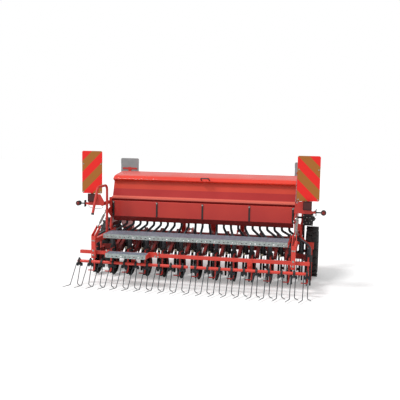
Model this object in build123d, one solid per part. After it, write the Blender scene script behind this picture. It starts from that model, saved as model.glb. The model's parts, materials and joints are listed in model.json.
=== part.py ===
from build123d import *
import math
import os

# Mounted mechanical seed drill, millimetres.
# X runs to the drill's right as seen from behind, Y forwards (the tractor's side), Z up.
# The ground is Z = 0 and the frame's origin is the middle of the machine on the ground.

# ---------------------------------------------------------------- rows and coulters
row_count = 25
row_pitch = 120.0
rear_row_y = -100.0          # disc centres of the rear row
front_row_y = 180.0          # disc centres of the front row
disc_radius = 160.0
disc_steel = 4.0
disc_dish = 16.0
disc_toe = 5.0               # degrees each disc is turned from the line of travel
hub_radius = 42.0
hub_length = 26.0
arm_width = 40.0
arm_height = 44.0
arm_offset = 44.0            # centre of the arm to the side of its row
inboard_row = 1150.0         # rows further out carry their arm on the inner side
outer_pivot_x = (1220.0, 1188.0)   # pivots of the two outermost rows, rear row and front row
leg_inner = 32.0             # leg's inner face to the side of its row
leg_steel = 8.0
boot_width = 20.0
funnel_radius = 41.0
boot_bottom = 24.0
funnel_shift = 12.0          # funnel's centre towards the boot's side of the row
funnel_bottom = 322.0
funnel_top = 410.0
sleeve_radius = 27.0         # wide lower part of each seed tube
sleeve_top = 500.0
tube_radius = 15.5

# ---------------------------------------------------------------- frame
plate_inner = 1248.0         # side plates' inner faces, half the hopper's length
plate_steel = 12.0
bar_side = 70.0              # coulter bar, square tube
bar_y = 560.0
bar_z = 500.0
toolbar_side = 100.0         # front toolbar, square tube
toolbar_y = 900.0
toolbar_z = 412.0
tube_wall = 6.0
pivot_radius = 10.0
pivot_rise = 62.0            # arm pivots above and below the coulter bar's centre
pivot_reach = 66.0           # arm pivots behind the coulter bar's centre
shaft_y = 650.0              # pressure shaft
shaft_z = 330.0
shaft_radius = 34.0
shaft_wall = 5.0
spring_radius = 11.5
spring_rod_radius = 5.0
eye_radius = 9.0
eye_half = 8.0
rear_spring_y = 330.0        # where each spring hangs from its arm
front_spring_y = 384.0

# ---------------------------------------------------------------- hopper, lid and cover
sheet = 3.0
hopper_top = 1302.0
hopper_floor = 835.0
outlet_pitch = 98.0
outlet_y = 80.0
housing_width = 62.0
housing_depth = 96.0
housing_height = 78.0
spout_radius = 19.0
spout_length = 26.0
lid_overhang = 8.0           # lid beyond each end of the hopper
lid_half = plate_inner + lid_overhang
lid_front = 712.0            # outside of the lid's front skirt
lid_foot = 1296.0            # lower edge of the lid's skirt
lid_hinge_y = 728.0
lid_hinge_z = 1300.0
cover_end_gap = 12.0         # cover's ends to the side plates
cover_half = plate_inner - cover_end_gap
cover_hinge_y = -58.0
cover_hinge_z = 1015.0
hinge_rod_radius = 5.0
hinge_fit = 0.06             # radial running clearance of every hinge

# ---------------------------------------------------------------- walkway and handrail
walk_end_gap = 48.0          # walkway's ends to the side plates
walk_half = plate_inner - walk_end_gap
walk_rear = -550.0
walk_front = -210.0
walk_top = 632.0
walk_depth = 55.0
walk_sheet = 3.0
slot_pitch = 57.0            # slots along the rear faces of the walkway and the step
slot_length = 18.0
slot_height = 10.0
rail_radius = 17.0
rail_wall = 2.5

# ---------------------------------------------------------------- warning boards and lamps
board_width = 282.0
board_height = 564.0
board_sheet = 3.0
rear_board_outer = 1563.0
rear_board_bottom = 1140.0
rear_board_y = -370.0
front_board_inner = 1176.0
front_board_bottom = 1002.0
front_board_y = 935.0

# ---------------------------------------------------------------- wheels
wheel_radius = 350.0
wheel_y = 530.0
wheel_width = 172.0
wheel_x = 1472.0             # middle of each tyre
rim_radius = 215.0
rim_width = 124.0
lug_height = 16.0
lug_count = 20
axle_radius = 22.0

# ---------------------------------------------------------------- following harrow
harrow_beam_side = 42.0
harrow_beam_y = -636.0
harrow_beam_z = 401.0
post_inner = 1254.0
post_width = 54.0
beam_reach = 170.0           # harrow beam beyond each post
harrow_half = post_inner + post_width + beam_reach
post_depth = 44.0
post_bottom = 330.0
post_top = 622.0
lift_y = -62.0               # pivot of the harrow's arms
lift_z = 552.0
lift_radius = 12.0
harrow_tube_radius = 19.0
harrow_tube_y = -742.0
harrow_tube_z = 296.0
section_centre = 747.0
section_half = 728.0
roll_radius = 10.0
link_y = -504.0              # lower eye of each pressure rod
link_z = 715.0
rod_top_y = -206.0           # upper eye, beside the side plate's horn
rod_top_z = 891.0
rod_spring_radius = 16.0
rod_eye_half = 9.0
rod_eye_radius = 19.0
link_pin_bore = 10.06        # bore of both eyes
rod_gap = 5.0                # between the rod's upper eye and the side plate
tine_pitch = 152.3
tine_count = 10
tine_radius = 5.0
tine_coil_radius = 24.0
tine_coil_end = 41.0         # coil's outer end to the side of its clamp

seat = 0.3                   # small gap between pieces that bear on each other


# ---------------------------------------------------------------- helpers
def block(x0, x1, y0, y1, z0, z1):
    return Pos((x0 + x1) / 2, (y0 + y1) / 2, (z0 + z1) / 2) * Box(x1 - x0, y1 - y0, z1 - z0)


def plate_yz(points, x0, x1):
    """A flat piece whose outline is in the Y-Z plane, from x0 to x1."""
    return extrude(Plane.YZ.offset(x0) * make_face(Polyline(*points, close=True)), x1 - x0)


def plate_xz(points, y0, y1):
    """A flat piece whose outline is in the X-Z plane, from y0 (rear) to y1 (front)."""
    return extrude(Plane.XZ.offset(-y1) * make_face(Polyline(*points, close=True)), y1 - y0)


def plate_xy(points, z0, z1):
    """A flat piece whose outline is in the X-Y plane, from z0 to z1."""
    return extrude(Plane.XY.offset(z0) * make_face(Polyline(*points, close=True)), z1 - z0)


def bar_x(x0, x1, y, z, radius):
    return Pos((x0 + x1) / 2, y, z) * Rot(0, 90, 0) * Cylinder(radius, x1 - x0)


def bar_y_axis(y0, y1, x, z, radius):
    return Pos(x, (y0 + y1) / 2, z) * Rot(90, 0, 0) * Cylinder(radius, y1 - y0)


def bar_z_axis(z0, z1, x, y, radius):
    return Pos(x, y, (z0 + z1) / 2) * Cylinder(radius, z1 - z0)


def link(start, end, radius):
    """A round bar between two points."""
    axis = Vector(*end) - Vector(*start)
    return extrude(Plane(origin=start, z_dir=axis) * Circle(radius), axis.length)


def square_tube(x0, x1, y, z, side, wall):
    outer = block(x0, x1, y - side / 2, y + side / 2, z - side / 2, z + side / 2)
    inner_side = side / 2 - wall
    return outer - block(x0, x1, y - inner_side, y + inner_side, z - inner_side, z + inner_side)


def mirror_x(shape):
    return mirror(shape, about=Plane.YZ)


def both_sides(shape):
    return [shape, mirror_x(shape)]


def bent_pipe(points, radii, radius, wall):
    """A round tube along straight runs joined by tangent arcs; solid where wall is 0."""
    path = FilletPolyline(*points, radius=radii)
    profile = Circle(radius)
    if wall:
        profile = profile - Circle(radius - wall)
    return sweep(Plane(origin=path @ 0, z_dir=path % 0) * profile, path=path)


def save(name, *shapes):
    solids = []
    for shape in shapes:
        solids += shape.solids() if hasattr(shape, "solids") else list(shape)
    result = solids[0] if len(solids) == 1 else Compound(children=[Solid(s.wrapped) for s in solids])
    export_step(result, f"parts/{name}.step")


os.makedirs("parts", exist_ok=True)

plate_outer = plate_inner + plate_steel
rod_x = post_inner + post_width / 2
middle_row = (row_count - 1) / 2

# One line for each row: its place, its row (rear or front), the side its arm is on, its pivot.
rows = []
for number in range(row_count):
    x = (number - middle_row) * row_pitch
    rear = number % 2 == 0
    side = -1 if x > inboard_row else 1
    pivot_x = x + side * arm_offset
    if abs(x) > inboard_row + row_pitch / 2:
        pivot_x = math.copysign(outer_pivot_x[0 if rear else 1], x)
    rows.append({"x": x, "rear": rear, "side": side, "pivot_x": pivot_x,
                 "outlet_x": (number - middle_row) * outlet_pitch})


# ---------------------------------------------------------------- main frame
def side_plate():
    outline = [
        (-84, 700), (-84, 800), (rod_top_y + 20, rod_top_z - 27), (rod_top_y - 18, rod_top_z - 14),
        (rod_top_y - 20, rod_top_z + 12), (rod_top_y + 12, rod_top_z + 24), (-84, 960), (-84, 1050),
        (-30, 1078), (640, 1078), (760, 900), (toolbar_y + 62, toolbar_z + 148),
        (toolbar_y + 62, toolbar_z - 58), (shaft_y + 120, toolbar_z - 58), (shaft_y + 48, shaft_z - 46),
        (shaft_y - 48, shaft_z - 46), (bar_y, 440), (bar_y - 60, 440), (bar_y - 110, 560),
        (330, 712), (-25, 712), (-25, 500), (lift_y - 40, 500), (lift_y - 40, 660)]
    plate = plate_yz(outline, plate_inner, plate_outer)
    return plate - plate_yz([(150, 860), (150, 1000), (330, 1000), (330, 900)], plate_inner, plate_outer)


def lift_pin():
    shank = bar_x(plate_outer, plate_outer + 52, lift_y, lift_z, lift_radius)
    head = bar_x(plate_outer + 52, plate_outer + 60, lift_y, lift_z, lift_radius + 7)
    return shank + head


hinge_rod = bar_x(-plate_inner, plate_inner, cover_hinge_y, cover_hinge_z, hinge_rod_radius)
side = side_plate() + lift_pin()
save("side_plates", *both_sides(side))
save("cover_hinge_rod", hinge_rod)
save("front_toolbar", square_tube(-plate_inner, plate_inner, toolbar_y, toolbar_z, toolbar_side, tube_wall))


def pivot_ear(x, z):
    """Two ears on the back of the coulter bar with the arm's pin between them."""
    rear_face = bar_y - bar_side / 2
    up = 1 if z > bar_z else -1
    pin_y = bar_y - pivot_reach
    ears = []
    for ear_x in (x - arm_width / 2 - seat - 5, x + arm_width / 2 + seat):
        tall = [(rear_face, bar_z), (rear_face, bar_z + up * 34), (pin_y, z + up * 18),
                (pin_y - 18, z + up * 6), (pin_y - 18, z - up * 14), (pin_y, z - up * 20)]
        ears.append(plate_yz(tall, ear_x, ear_x + 5))
    pin = bar_x(x - arm_width / 2 - 5.2, x + arm_width / 2 + 5.2, pin_y, z, pivot_radius)
    return ears[0] + ears[1] + pin


coulter_bar = square_tube(-plate_inner, plate_inner, bar_y, bar_z, bar_side, tube_wall)
for row in rows:
    coulter_bar += pivot_ear(row["pivot_x"], bar_z + (pivot_rise if row["rear"] else -pivot_rise))
save("coulter_bar", coulter_bar)


# ---------------------------------------------------------------- three-point headstock
link_pin_x = 412.5           # shoulder of each lower link pin, category 2
link_pin_radius = 14.0
link_pin_length = 62.0
link_pin_root = 17.0         # stouter part of the pin between its plates
link_pin_y = 1070.0
link_pin_z = 500.0
mast_height = 610.0          # top link bore above the lower link pins
top_bore_radius = 12.75
top_gap = 88.0
mast_steel = 12.0
toolbar_front = toolbar_y + toolbar_side / 2
top_y = 1075.0
mast_back = 640.0            # top of the sheet across the mast's rear


def mast_plate(x0):
    top_z = link_pin_z + mast_height
    outline = [
        (toolbar_front, toolbar_z - 50), (toolbar_front, toolbar_z + 50),
        (toolbar_y - 40, toolbar_z + 50), (toolbar_y - 40, mast_back), (top_y - 70, top_z + 34),
        (top_y + 24, top_z + 30), (top_y + 28, top_z - 30), (toolbar_front + 40, mast_back - 30),
        (toolbar_front + 26, toolbar_z - 50)]
    plate = plate_yz(outline, x0, x0 + mast_steel)
    return plate - bar_x(x0, x0 + mast_steel, top_y, top_z, top_bore_radius)


def lower_bracket():
    outline = [
        (toolbar_front, toolbar_z - 50), (toolbar_front, toolbar_z + 50),
        (link_pin_y - 30, link_pin_z + 30), (link_pin_y + 33, link_pin_z + 22),
        (link_pin_y + 33, link_pin_z - 30), (link_pin_y - 16, link_pin_z - 44)]
    plates = plate_yz(outline, link_pin_x - 12, link_pin_x)
    plates += plate_yz(outline, link_pin_x - 72, link_pin_x - 60)
    plates += block(link_pin_x - 60, link_pin_x - 12, toolbar_front, toolbar_front + 10,
                    toolbar_z - 50, toolbar_z + 50)
    return plates - bar_x(link_pin_x - 72, link_pin_x, link_pin_y, link_pin_z, link_pin_root)


mast = mast_plate(top_gap / 2) + mast_plate(-top_gap / 2 - mast_steel)
mast += block(-top_gap / 2, top_gap / 2, toolbar_y - 40, toolbar_y - 28, toolbar_z + 50, mast_back)
mast += block(-top_gap / 2, top_gap / 2, toolbar_front, toolbar_front + 12, toolbar_z - 50, toolbar_z + 50)
save("headstock", mast, *both_sides(lower_bracket()))
pin = bar_x(link_pin_x, link_pin_x + link_pin_length, link_pin_y, link_pin_z, link_pin_radius)
pin += bar_x(link_pin_x - 72, link_pin_x, link_pin_y, link_pin_z, link_pin_root)
pin += bar_x(link_pin_x - 80, link_pin_x - 72, link_pin_y, link_pin_z, link_pin_root + 6)
pin -= bar_z_axis(link_pin_z - 20, link_pin_z + 20, link_pin_x + link_pin_length - 11, link_pin_y, 5.5)
save("lower_link_pins", *both_sides(pin))


# ---------------------------------------------------------------- hopper
hopper_front = 706.0
hopper_outline = [
    (34, hopper_top), (0, 1190), (-40, 1085), (outlet_y - 52, hopper_floor),
    (outlet_y + 52, hopper_floor), (hopper_front, 1190), (hopper_front, hopper_top)]


def inset_section(outline, wall):
    """The same section one wall smaller, left open at the top."""
    tall = [outline[0]] + list(outline[1:-1]) + [outline[-1]]
    tall = [(outline[0][0], hopper_top + 60)] + tall + [(outline[-1][0], hopper_top + 60)]
    return offset(make_face(Polyline(*tall, close=True)), -wall, kind=Kind.INTERSECTION)


def hopper():
    body = plate_yz(hopper_outline, -plate_inner, plate_inner)
    cavity = extrude(Plane.YZ.offset(-plate_inner + sheet) * inset_section(hopper_outline, sheet),
                     2 * (plate_inner - sheet))
    body -= cavity
    ledge = [(-34, 1092), (-44, 1084), (-68, 1072), (-68, 1054), (-64, 1054), (-64, 1068),
             (-38, 1080), (-30, 1086)]
    body += plate_yz(ledge, -plate_inner, plate_inner)
    rim_top = lid_foot - seat
    body += block(-lid_half, lid_half, 2, 32, rim_top - sheet, rim_top)
    for rim_end in both_sides(block(plate_inner, lid_half, 2, hopper_front, rim_top - sheet, rim_top)):
        body += rim_end
    for row in rows:
        body -= block(row["outlet_x"] - 22, row["outlet_x"] + 22, outlet_y - 26, outlet_y + 26,
                      hopper_floor, hopper_floor + sheet)
    return body


save("hopper", hopper())


def metering_unit(x):
    """Seed housing below one outlet, with its sloping throat and its round spout."""
    z1 = hopper_floor
    z0 = z1 - housing_height
    outline = [(outlet_y - 44, z1), (outlet_y - 48, z1 - 30), (outlet_y - 24, z0), (outlet_y + 24, z0),
               (outlet_y + 50, z1 - 36), (outlet_y + 44, z1)]
    housing = plate_yz(outline, x - housing_width / 2, x + housing_width / 2)
    return housing + bar_z_axis(z0 - spout_length, z0, x, outlet_y, spout_radius)


metering = bar_x(-plate_inner, plate_inner, outlet_y + 8, hopper_floor - 38, 11)
for row in rows:
    metering += metering_unit(row["outlet_x"])
save("metering_units", metering)


# ---------------------------------------------------------------- lid
lid_hinge_places = (-900.0, 0.0, 900.0)
knuckle_half = 15.0


def lid():
    outer = [
        (6, lid_foot), (-18, 1322), (40, 1362), (120, 1376), (370, 1404), (520, 1398),
        (690, 1340), (lid_front, 1318), (lid_front, lid_foot)]
    solid = plate_yz(outer, -lid_half, lid_half)
    inner = offset(make_face(Polyline(*outer, close=True)), -sheet, kind=Kind.INTERSECTION)
    solid -= extrude(Plane.YZ.offset(-lid_half + sheet) * inner, 2 * (lid_half - sheet))
    opening = [(14, lid_foot - 6), (14, lid_foot + 6), (lid_front - sheet, lid_foot + 6),
               (lid_front - sheet, lid_foot - 6)]
    solid -= plate_yz(opening, -lid_half + sheet, lid_half - sheet)
    for x in lid_hinge_places:
        lug = [(lid_front, lid_hinge_z - 3), (lid_front, lid_hinge_z + 12), (lid_hinge_y, lid_hinge_z + 9),
               (lid_hinge_y, lid_hinge_z - 9)]
        solid += plate_yz(lug, x - knuckle_half, x + knuckle_half)
        solid += bar_x(x - knuckle_half, x + knuckle_half, lid_hinge_y, lid_hinge_z, 9)
        solid -= bar_x(x - knuckle_half, x + knuckle_half, lid_hinge_y, lid_hinge_z,
                       hinge_rod_radius + hinge_fit)
    return solid


def lid_hinge(x):
    """Leaf on the hopper's front face with two ears and the pin that the lid's knuckle turns on."""
    face = hopper_front
    ear = [(face + 4, 1244), (face + 4, 1272), (lid_hinge_y - 8, lid_hinge_z - 6),
           (lid_hinge_y - 6, lid_hinge_z + 6), (lid_hinge_y + 6, lid_hinge_z + 6),
           (lid_hinge_y + 8, lid_hinge_z - 8)]
    near = knuckle_half + seat
    leaf = block(x - 30, x + 30, face + seat, face + 4, 1236, 1284)
    leaf += plate_yz(ear, x + near, x + near + 8) + plate_yz(ear, x - near - 8, x - near)
    return leaf + bar_x(x - near - 8, x + near + 8, lid_hinge_y, lid_hinge_z, hinge_rod_radius)


save("hopper_lid", lid())
save("lid_hinges", *[lid_hinge(x) for x in lid_hinge_places])
handle_x = 43.0
handle_half = 54.0
handle_radius = 8.0
handle_points = [(handle_x - handle_half, -6, 1336), (handle_x - handle_half, -52, 1360),
                 (handle_x + handle_half, -52, 1360), (handle_x + handle_half, -6, 1336)]
handle = bent_pipe(handle_points, 16, handle_radius, 0)
save("lid_handle", handle - lid())

# ---------------------------------------------------------------- metering cover
knuckle_radius = 10.0
cover_rear = cover_hinge_y - knuckle_radius
cover_fold = 812.0           # where the cover folds under
cover_foot = 742.0


def metering_cover():
    """Pressed panel that hangs from its rolled top edge and folds under at the foot."""
    face = [
        (cover_rear, cover_hinge_z), (cover_rear, cover_fold), (cover_rear + 52, cover_foot),
        (cover_rear + 60, cover_foot), (cover_rear + 60, cover_foot + sheet),
        (cover_rear + 54, cover_foot + sheet), (cover_rear + sheet, cover_fold + sheet),
        (cover_rear + sheet, cover_hinge_z)]
    panel = plate_yz(face, -cover_half, cover_half)
    panel += bar_x(-cover_half, cover_half, cover_hinge_y, cover_hinge_z, knuckle_radius)
    return panel - bar_x(-cover_half, cover_half, cover_hinge_y, cover_hinge_z,
                         hinge_rod_radius + hinge_fit)


save("metering_cover", metering_cover())
strap_pitch = 632.0
strap_shift = 22.0           # middle strap to the right of the cover's middle
strap_half = 11.0
straps = []
for x in (strap_half - cover_half, strap_shift - strap_pitch, strap_shift, strap_shift + strap_pitch,
          cover_half - strap_half):
    strap = block(x - strap_half, x + strap_half, cover_rear - 5, cover_rear - seat,
                  cover_fold + 2, cover_hinge_z + 2)
    strap += bar_y_axis(cover_rear - 11, cover_rear - 5, x, cover_hinge_z - 12, 8)
    straps.append(strap)
save("cover_straps", *straps)


# ---------------------------------------------------------------- coulters
rear_head_z = 334.0          # middle of the arm's head above the rear discs
front_head_z = 314.0
head_reach = 62.0            # head in front of the disc's centre
boss_radius = 18.0
skid_shift = 9.0             # strip's middle to the right of its row
skid_gap = 3.0               # between the disc's rim and the strip
skid_width = 20.0
skid_steel = 6.0
skid_top = 388.0
skid_foot_z = 68.0
skid_foot_reach = 75.0


def coulter_y(row):
    return rear_row_y if row["rear"] else front_row_y


def pivot_z(row):
    return bar_z + (pivot_rise if row["rear"] else -pivot_rise)


def disc_place(row):
    """The disc's axis: along X, turned by the toe angle; positive towards the arm's side."""
    toe = -disc_toe if row["rear"] else disc_toe
    return Location((row["x"], coulter_y(row), disc_radius), (0, 0, toe)) * Rot(0, 90 * row["side"], 0)


def disc(row):
    """Dished steel disc with its hub in the hollow, turned about its own axis."""
    rim = disc_radius
    profile = [
        (0, 0), (60, 0), (rim - 24, disc_dish), (rim, disc_dish + 4), (rim, disc_dish + 5.5),
        (rim - 24, disc_dish + disc_steel), (60, disc_steel), (hub_radius, disc_steel),
        (hub_radius, hub_length), (0, hub_length)]
    turned = revolve(Plane.XZ * make_face(Polyline(*profile, close=True)), Axis.Z)
    return disc_place(row) * Pos(0, 0, -disc_dish) * turned


def arm(row):
    """Arm from its pivot back to the head above the disc; the outer ones step sideways."""
    y_head = coulter_y(row) + head_reach
    z_head = rear_head_z if row["rear"] else front_head_z
    pin_y = bar_y - pivot_reach
    pin_z = pivot_z(row)
    x_head = row["x"] + row["side"] * arm_offset
    x_pin = row["pivot_x"]
    half = arm_width / 2
    up = arm_height / 2
    slope = (pin_z - z_head) / (pin_y - y_head)
    nose = [(pin_y, pin_z - up), (pin_y + 20, pin_z - 8), (pin_y + 20, pin_z + 8), (pin_y, pin_z + up)]
    if abs(x_head - x_pin) < 1:
        outline = [(y_head, z_head - up)] + nose + [(y_head, z_head + up)]
        beam = plate_yz(outline, x_pin - half, x_pin + half)
    else:
        y_jog = y_head + 40
        y_bend = y_jog + 60
        z_jog = z_head + slope * (y_jog - y_head)
        z_bend = z_head + slope * (y_bend - y_head)
        straight = [(y_bend, z_bend - up)] + nose + [(y_bend, z_bend + up)]
        beam = plate_yz(straight, x_pin - half, x_pin + half)
        plan = [(x_pin - half, y_bend + 12), (x_pin + half, y_bend + 12), (x_pin + half, y_bend),
                (x_head + half, y_jog), (x_head - half, y_jog), (x_pin - half, y_bend)]
        beam += plate_xy(plan, z_jog - up, z_bend + up)
        last = [(y_head, z_head - up), (y_jog, z_jog - up), (y_jog, z_jog + up), (y_head, z_head + up)]
        beam += plate_yz(last, x_head - half, x_head + half)
    return beam - bar_x(x_pin - half, x_pin + half, pin_y, pin_z, pivot_radius)


def leg(row):
    """Plate from the arm's head down past the hub, with the boss that carries the hub."""
    side = row["side"]
    y0 = coulter_y(row)
    z_head = rear_head_z if row["rear"] else front_head_z
    near = row["x"] + side * leg_inner
    far = near + side * leg_steel
    outline = [
        (y0 + head_reach, z_head + 22), (y0 + head_reach, z_head - 22), (y0 + 30, disc_radius - 14),
        (y0, disc_radius - 30), (y0 - 30, disc_radius - 14), (y0 - 26, disc_radius + 40),
        (y0 - 16, z_head - 14), (y0 - 10, z_head + 22)]
    plate = plate_yz(outline, min(near, far), max(near, far))
    start = hub_length - disc_dish
    boss = disc_place(row) * Pos(0, 0, (start + 26) / 2 + 4) * Cylinder(boss_radius, 26 - start + 8)
    return plate + boss


def boot(row):
    """Funnel for the seed tube and the flat boot that runs down beside the disc."""
    side = row["side"]
    y0 = coulter_y(row) - 6
    x = row["x"] - side * funnel_shift
    cup = bar_z_axis(funnel_bottom, funnel_top, x, y0, funnel_radius)
    cup -= bar_z_axis(funnel_bottom + 30, funnel_top, x, y0, sleeve_radius + seat)
    outer = row["x"] - side * (26 + boot_width)
    inner = row["x"] - side * 26
    blade = [
        (y0 - 30, funnel_bottom + 12), (y0 - 74, 200), (y0 - 80, 90), (y0 - 62, boot_bottom),
        (y0 - 34, boot_bottom), (y0 - 10, 110), (y0 + 30, 240), (y0 + 30, funnel_bottom + 12)]
    casting = cup + plate_yz(blade, min(inner, outer), max(inner, outer))
    lug_near = row["x"] + side * leg_inner
    lug_far = row["x"] + side * 4
    return casting + block(min(lug_near, lug_far), max(lug_near, lug_far), y0 - 4, y0 + 22,
                           funnel_bottom + 2, funnel_bottom + 26)


def skid(row):
    """Flat strip behind the disc, carried from the funnel, whose foot turns aside above the ground."""
    x0 = row["x"] + skid_shift - skid_width / 2
    x1 = x0 + skid_width
    y1 = coulter_y(row) - disc_radius - skid_gap
    y0 = y1 - skid_steel
    beside = max(0.0, abs(skid_shift + row["side"] * funnel_shift) - skid_width / 2)
    seat_y = coulter_y(row) - 6 - math.sqrt(funnel_radius ** 2 - beside ** 2) - seat
    strip = block(x0, x1, y0, y1, skid_foot_z + 12, skid_top)
    strip += block(x0, x1, y0, seat_y, skid_top - skid_steel, skid_top)
    foot = [(x0 - skid_foot_reach, skid_foot_z), (x0 + 8, skid_foot_z), (x1, skid_foot_z + 40),
            (x0, skid_foot_z + 40), (x0 - 4, skid_foot_z + 12), (x0 - skid_foot_reach, skid_foot_z + 12)]
    return strip + plate_xz(foot, y0 - 12, y1)


for place, label in ((True, "rear"), (False, "front")):
    chosen = [row for row in rows if row["rear"] is place]
    save(f"coulter_arms_{label}", *[arm(row) + leg(row) for row in chosen])
    save(f"coulter_discs_{label}", *[disc(row) for row in chosen])
    save(f"coulter_boots_{label}", *[boot(row) for row in chosen])
save("depth_skids", *[skid(row) for row in rows if row["rear"]])

# ---------------------------------------------------------------- pressure springs and their shaft


def arm_below(row, y):
    """Height and slope of the arm's underside at y."""
    z_head = rear_head_z if row["rear"] else front_head_z
    y_head = coulter_y(row) + head_reach
    slope = (pivot_z(row) - z_head) / (bar_y - pivot_reach - y_head)
    return z_head + slope * (y - y_head) - arm_height / 2, slope


def pressure_spring(row):
    """Coil on its guide rod between the arm's underside and the pressure shaft."""
    y = rear_spring_y if row["rear"] else front_spring_y
    below, slope = arm_below(row, y)
    x = row["pivot_x"]
    head = Vector(x, y, below - (eye_radius + seat) * math.hypot(1, slope))
    centre = Vector(x, shaft_y, shaft_z)
    away = (head - centre).normalized()
    foot = centre + away * (shaft_radius + eye_radius + seat)
    run = head - foot
    body = link(foot, head, spring_rod_radius) + link(foot + run * 0.2, foot + run * 0.8, spring_radius)
    for eye in (head, foot):
        body += bar_x(x - eye_half, x + eye_half, eye.Y, eye.Z, eye_radius)
    return body


save("pressure_springs", *[pressure_spring(row) for row in rows])
shaft = bar_x(-plate_inner, plate_inner, shaft_y, shaft_z, shaft_radius)
save("pressure_shaft",
     shaft - bar_x(-plate_inner, plate_inner, shaft_y, shaft_z, shaft_radius - shaft_wall))


# ---------------------------------------------------------------- seed tubes
def seed_tube(row):
    """Flexible tube from its spout to the wide sleeve that stands in the coulter's funnel."""
    x1 = row["x"] - row["side"] * funnel_shift
    y1 = coulter_y(row) - 6
    z0 = hopper_floor - housing_height - spout_length - seat
    foot = funnel_bottom + 30 + seat
    top = (row["outlet_x"], outlet_y, z0)
    knee = (row["outlet_x"], outlet_y, z0 - 44)
    elbow = (x1, y1, sleeve_top + 34)
    end = (x1, y1, foot)
    tube = bent_pipe([top, knee, elbow, end], [40, 60], tube_radius, 0)
    sleeve = Pos(x1, y1, foot) * extrude(Circle(sleeve_radius), sleeve_top - foot)
    neck = Pos(x1, y1, sleeve_top) * Cone(sleeve_radius, tube_radius + 2, 26,
                                          align=(Align.CENTER, Align.CENTER, Align.MIN))
    return tube + sleeve + neck


save("seed_tubes_rear", *[seed_tube(row) for row in rows if row["rear"]])
save("seed_tubes_front", *[seed_tube(row) for row in rows if not row["rear"]])

# ---------------------------------------------------------------- hopper posts
post_x = 443.0
post_half = 31.0
post_steel = 5.0


def hopper_post(x0):
    """Folded channel from the toolbar up to the hopper's front, its web at the rear."""
    foot = toolbar_z + toolbar_side / 2
    side = [(toolbar_y - 46, foot), (toolbar_y + 34, foot), (760, 1180), (hopper_front, 1270),
            (hopper_front, 1196)]
    web = [(toolbar_y - 46, foot), (toolbar_y - 40, foot), (hopper_front + 6, 1196), (hopper_front, 1196)]
    body = plate_yz(side, x0 - post_half, x0 - post_half + post_steel)
    body += plate_yz(side, x0 + post_half - post_steel, x0 + post_half)
    return body + plate_yz(web, x0 - post_half, x0 + post_half)


save("hopper_posts", *both_sides(hopper_post(post_x)))


# ---------------------------------------------------------------- walkway, brackets and handrail
def tread(x0, x1, y0, y1, top, depth):
    """Folded tread plate open below, with a row of slots in its rear face."""
    body = block(x0, x1, y0, y1, top - depth, top)
    body -= block(x0 + walk_sheet, x1 - walk_sheet, y0 + walk_sheet, y1 - walk_sheet,
                  top - depth, top - walk_sheet)
    middle = (x0 + x1) / 2
    each_side = int((x1 - x0) / 2 / slot_pitch - 0.5)
    slots = []
    for number in range(-each_side, each_side + 1):
        x = middle + number * slot_pitch
        slots.append(block(x - slot_length / 2, x + slot_length / 2, y0, y0 + walk_sheet,
                           top - depth * 0.62 - slot_height / 2, top - depth * 0.62 + slot_height / 2))
    return body - slots


save("walkway", tread(-walk_half, walk_half, walk_rear, walk_front, walk_top, walk_depth))
bracket_x = walk_half + seat
bracket_steel = 10.0


def walk_bracket():
    """Plate along the walkway's end and forwards to the side plate's leg."""
    low = walk_top - walk_depth
    outline = [(walk_rear + 2, low - 5), (walk_rear + 2, walk_top - 4), (walk_front, walk_top - 4),
               (lift_y + 30, walk_top + 20), (lift_y + 30, walk_top - 30), (walk_front, low - 5)]
    plate = plate_yz(outline, bracket_x, bracket_x + bracket_steel)
    return plate + bar_x(bracket_x + bracket_steel, plate_inner, lift_y, walk_top - 6, 14)


save("walkway_brackets", *both_sides(walk_bracket()))
rail_x = -(bracket_x + bracket_steel + seat + rail_radius)
rail_points = [(rail_x, -330, 584), (rail_x, -330, 1254), (rail_x, -672, 1254), (rail_x, -856, 934)]
save("handrail", bent_pipe(rail_points, [70, 70], rail_radius, rail_wall))
rail_end = Vector(*rail_points[3])
rail_way = (rail_end - Vector(*rail_points[2])).normalized()
save("handrail_plug", link(rail_end, rail_end + rail_way * 12, rail_radius + 2))

# ---------------------------------------------------------------- rear warning boards and lamps
board_arm_radius = 25.0
board_arm_x = plate_outer + board_arm_radius + seat
board_arm_z = 1000.0
board_plate_y = -372.0
board_plate_steel = 6.0
board_post_half = 20.0
rear_board_x = rear_board_outer - board_width / 2


def rear_board_bracket():
    front = board_plate_y + board_plate_steel
    outline = [(1256, 984), (1474, 980), (1474, 1132), (1308, 1132), (1256, 1040)]
    plate = plate_xz(outline, board_plate_y, front)
    plate += bar_y_axis(front, -20, board_arm_x, board_arm_z, board_arm_radius)
    plate += block(plate_outer, board_arm_x, -78, -22, board_arm_z - 56, board_arm_z + 66)
    plate += block(rear_board_x - board_post_half, rear_board_x + board_post_half, front, front + 6, 1040, 1610)
    return plate + block(1450, 1522, front, front + 30, 986, 1014)


def board(x, y, z0):
    corner = RectangleRounded(board_width, board_height, 20)
    face = Plane(origin=(x, y + board_sheet, z0 + board_height / 2), x_dir=(1, 0, 0), z_dir=(0, -1, 0))
    return extrude(face * corner, board_sheet)


save("board_brackets_rear", *both_sides(rear_board_bracket()))
rear_sheet_y = board_plate_y + board_plate_steel - board_sheet - seat
save("warning_boards_rear", *both_sides(board(rear_board_x, rear_sheet_y, rear_board_bottom)))
lamp_y = board_plate_y - 32
save("rear_lamps", *both_sides(block(1366, 1472, lamp_y, board_plate_y - seat, 1030, 1136)))
lead_radius = 3.0
lead_y = board_plate_y + board_plate_steel + 15
lead = [(-1480, lead_y, 986 - 2 * seat), (-1476, lead_y, 952), (-1380, lead_y + 10, 930),
        (-board_arm_x, lead_y + 20, 944), (-board_arm_x, lead_y + 20, board_arm_z - board_arm_radius - 2 * seat)]
save("lamp_lead", bent_pipe(lead, [20, 60, 16], lead_radius, 0))


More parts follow.
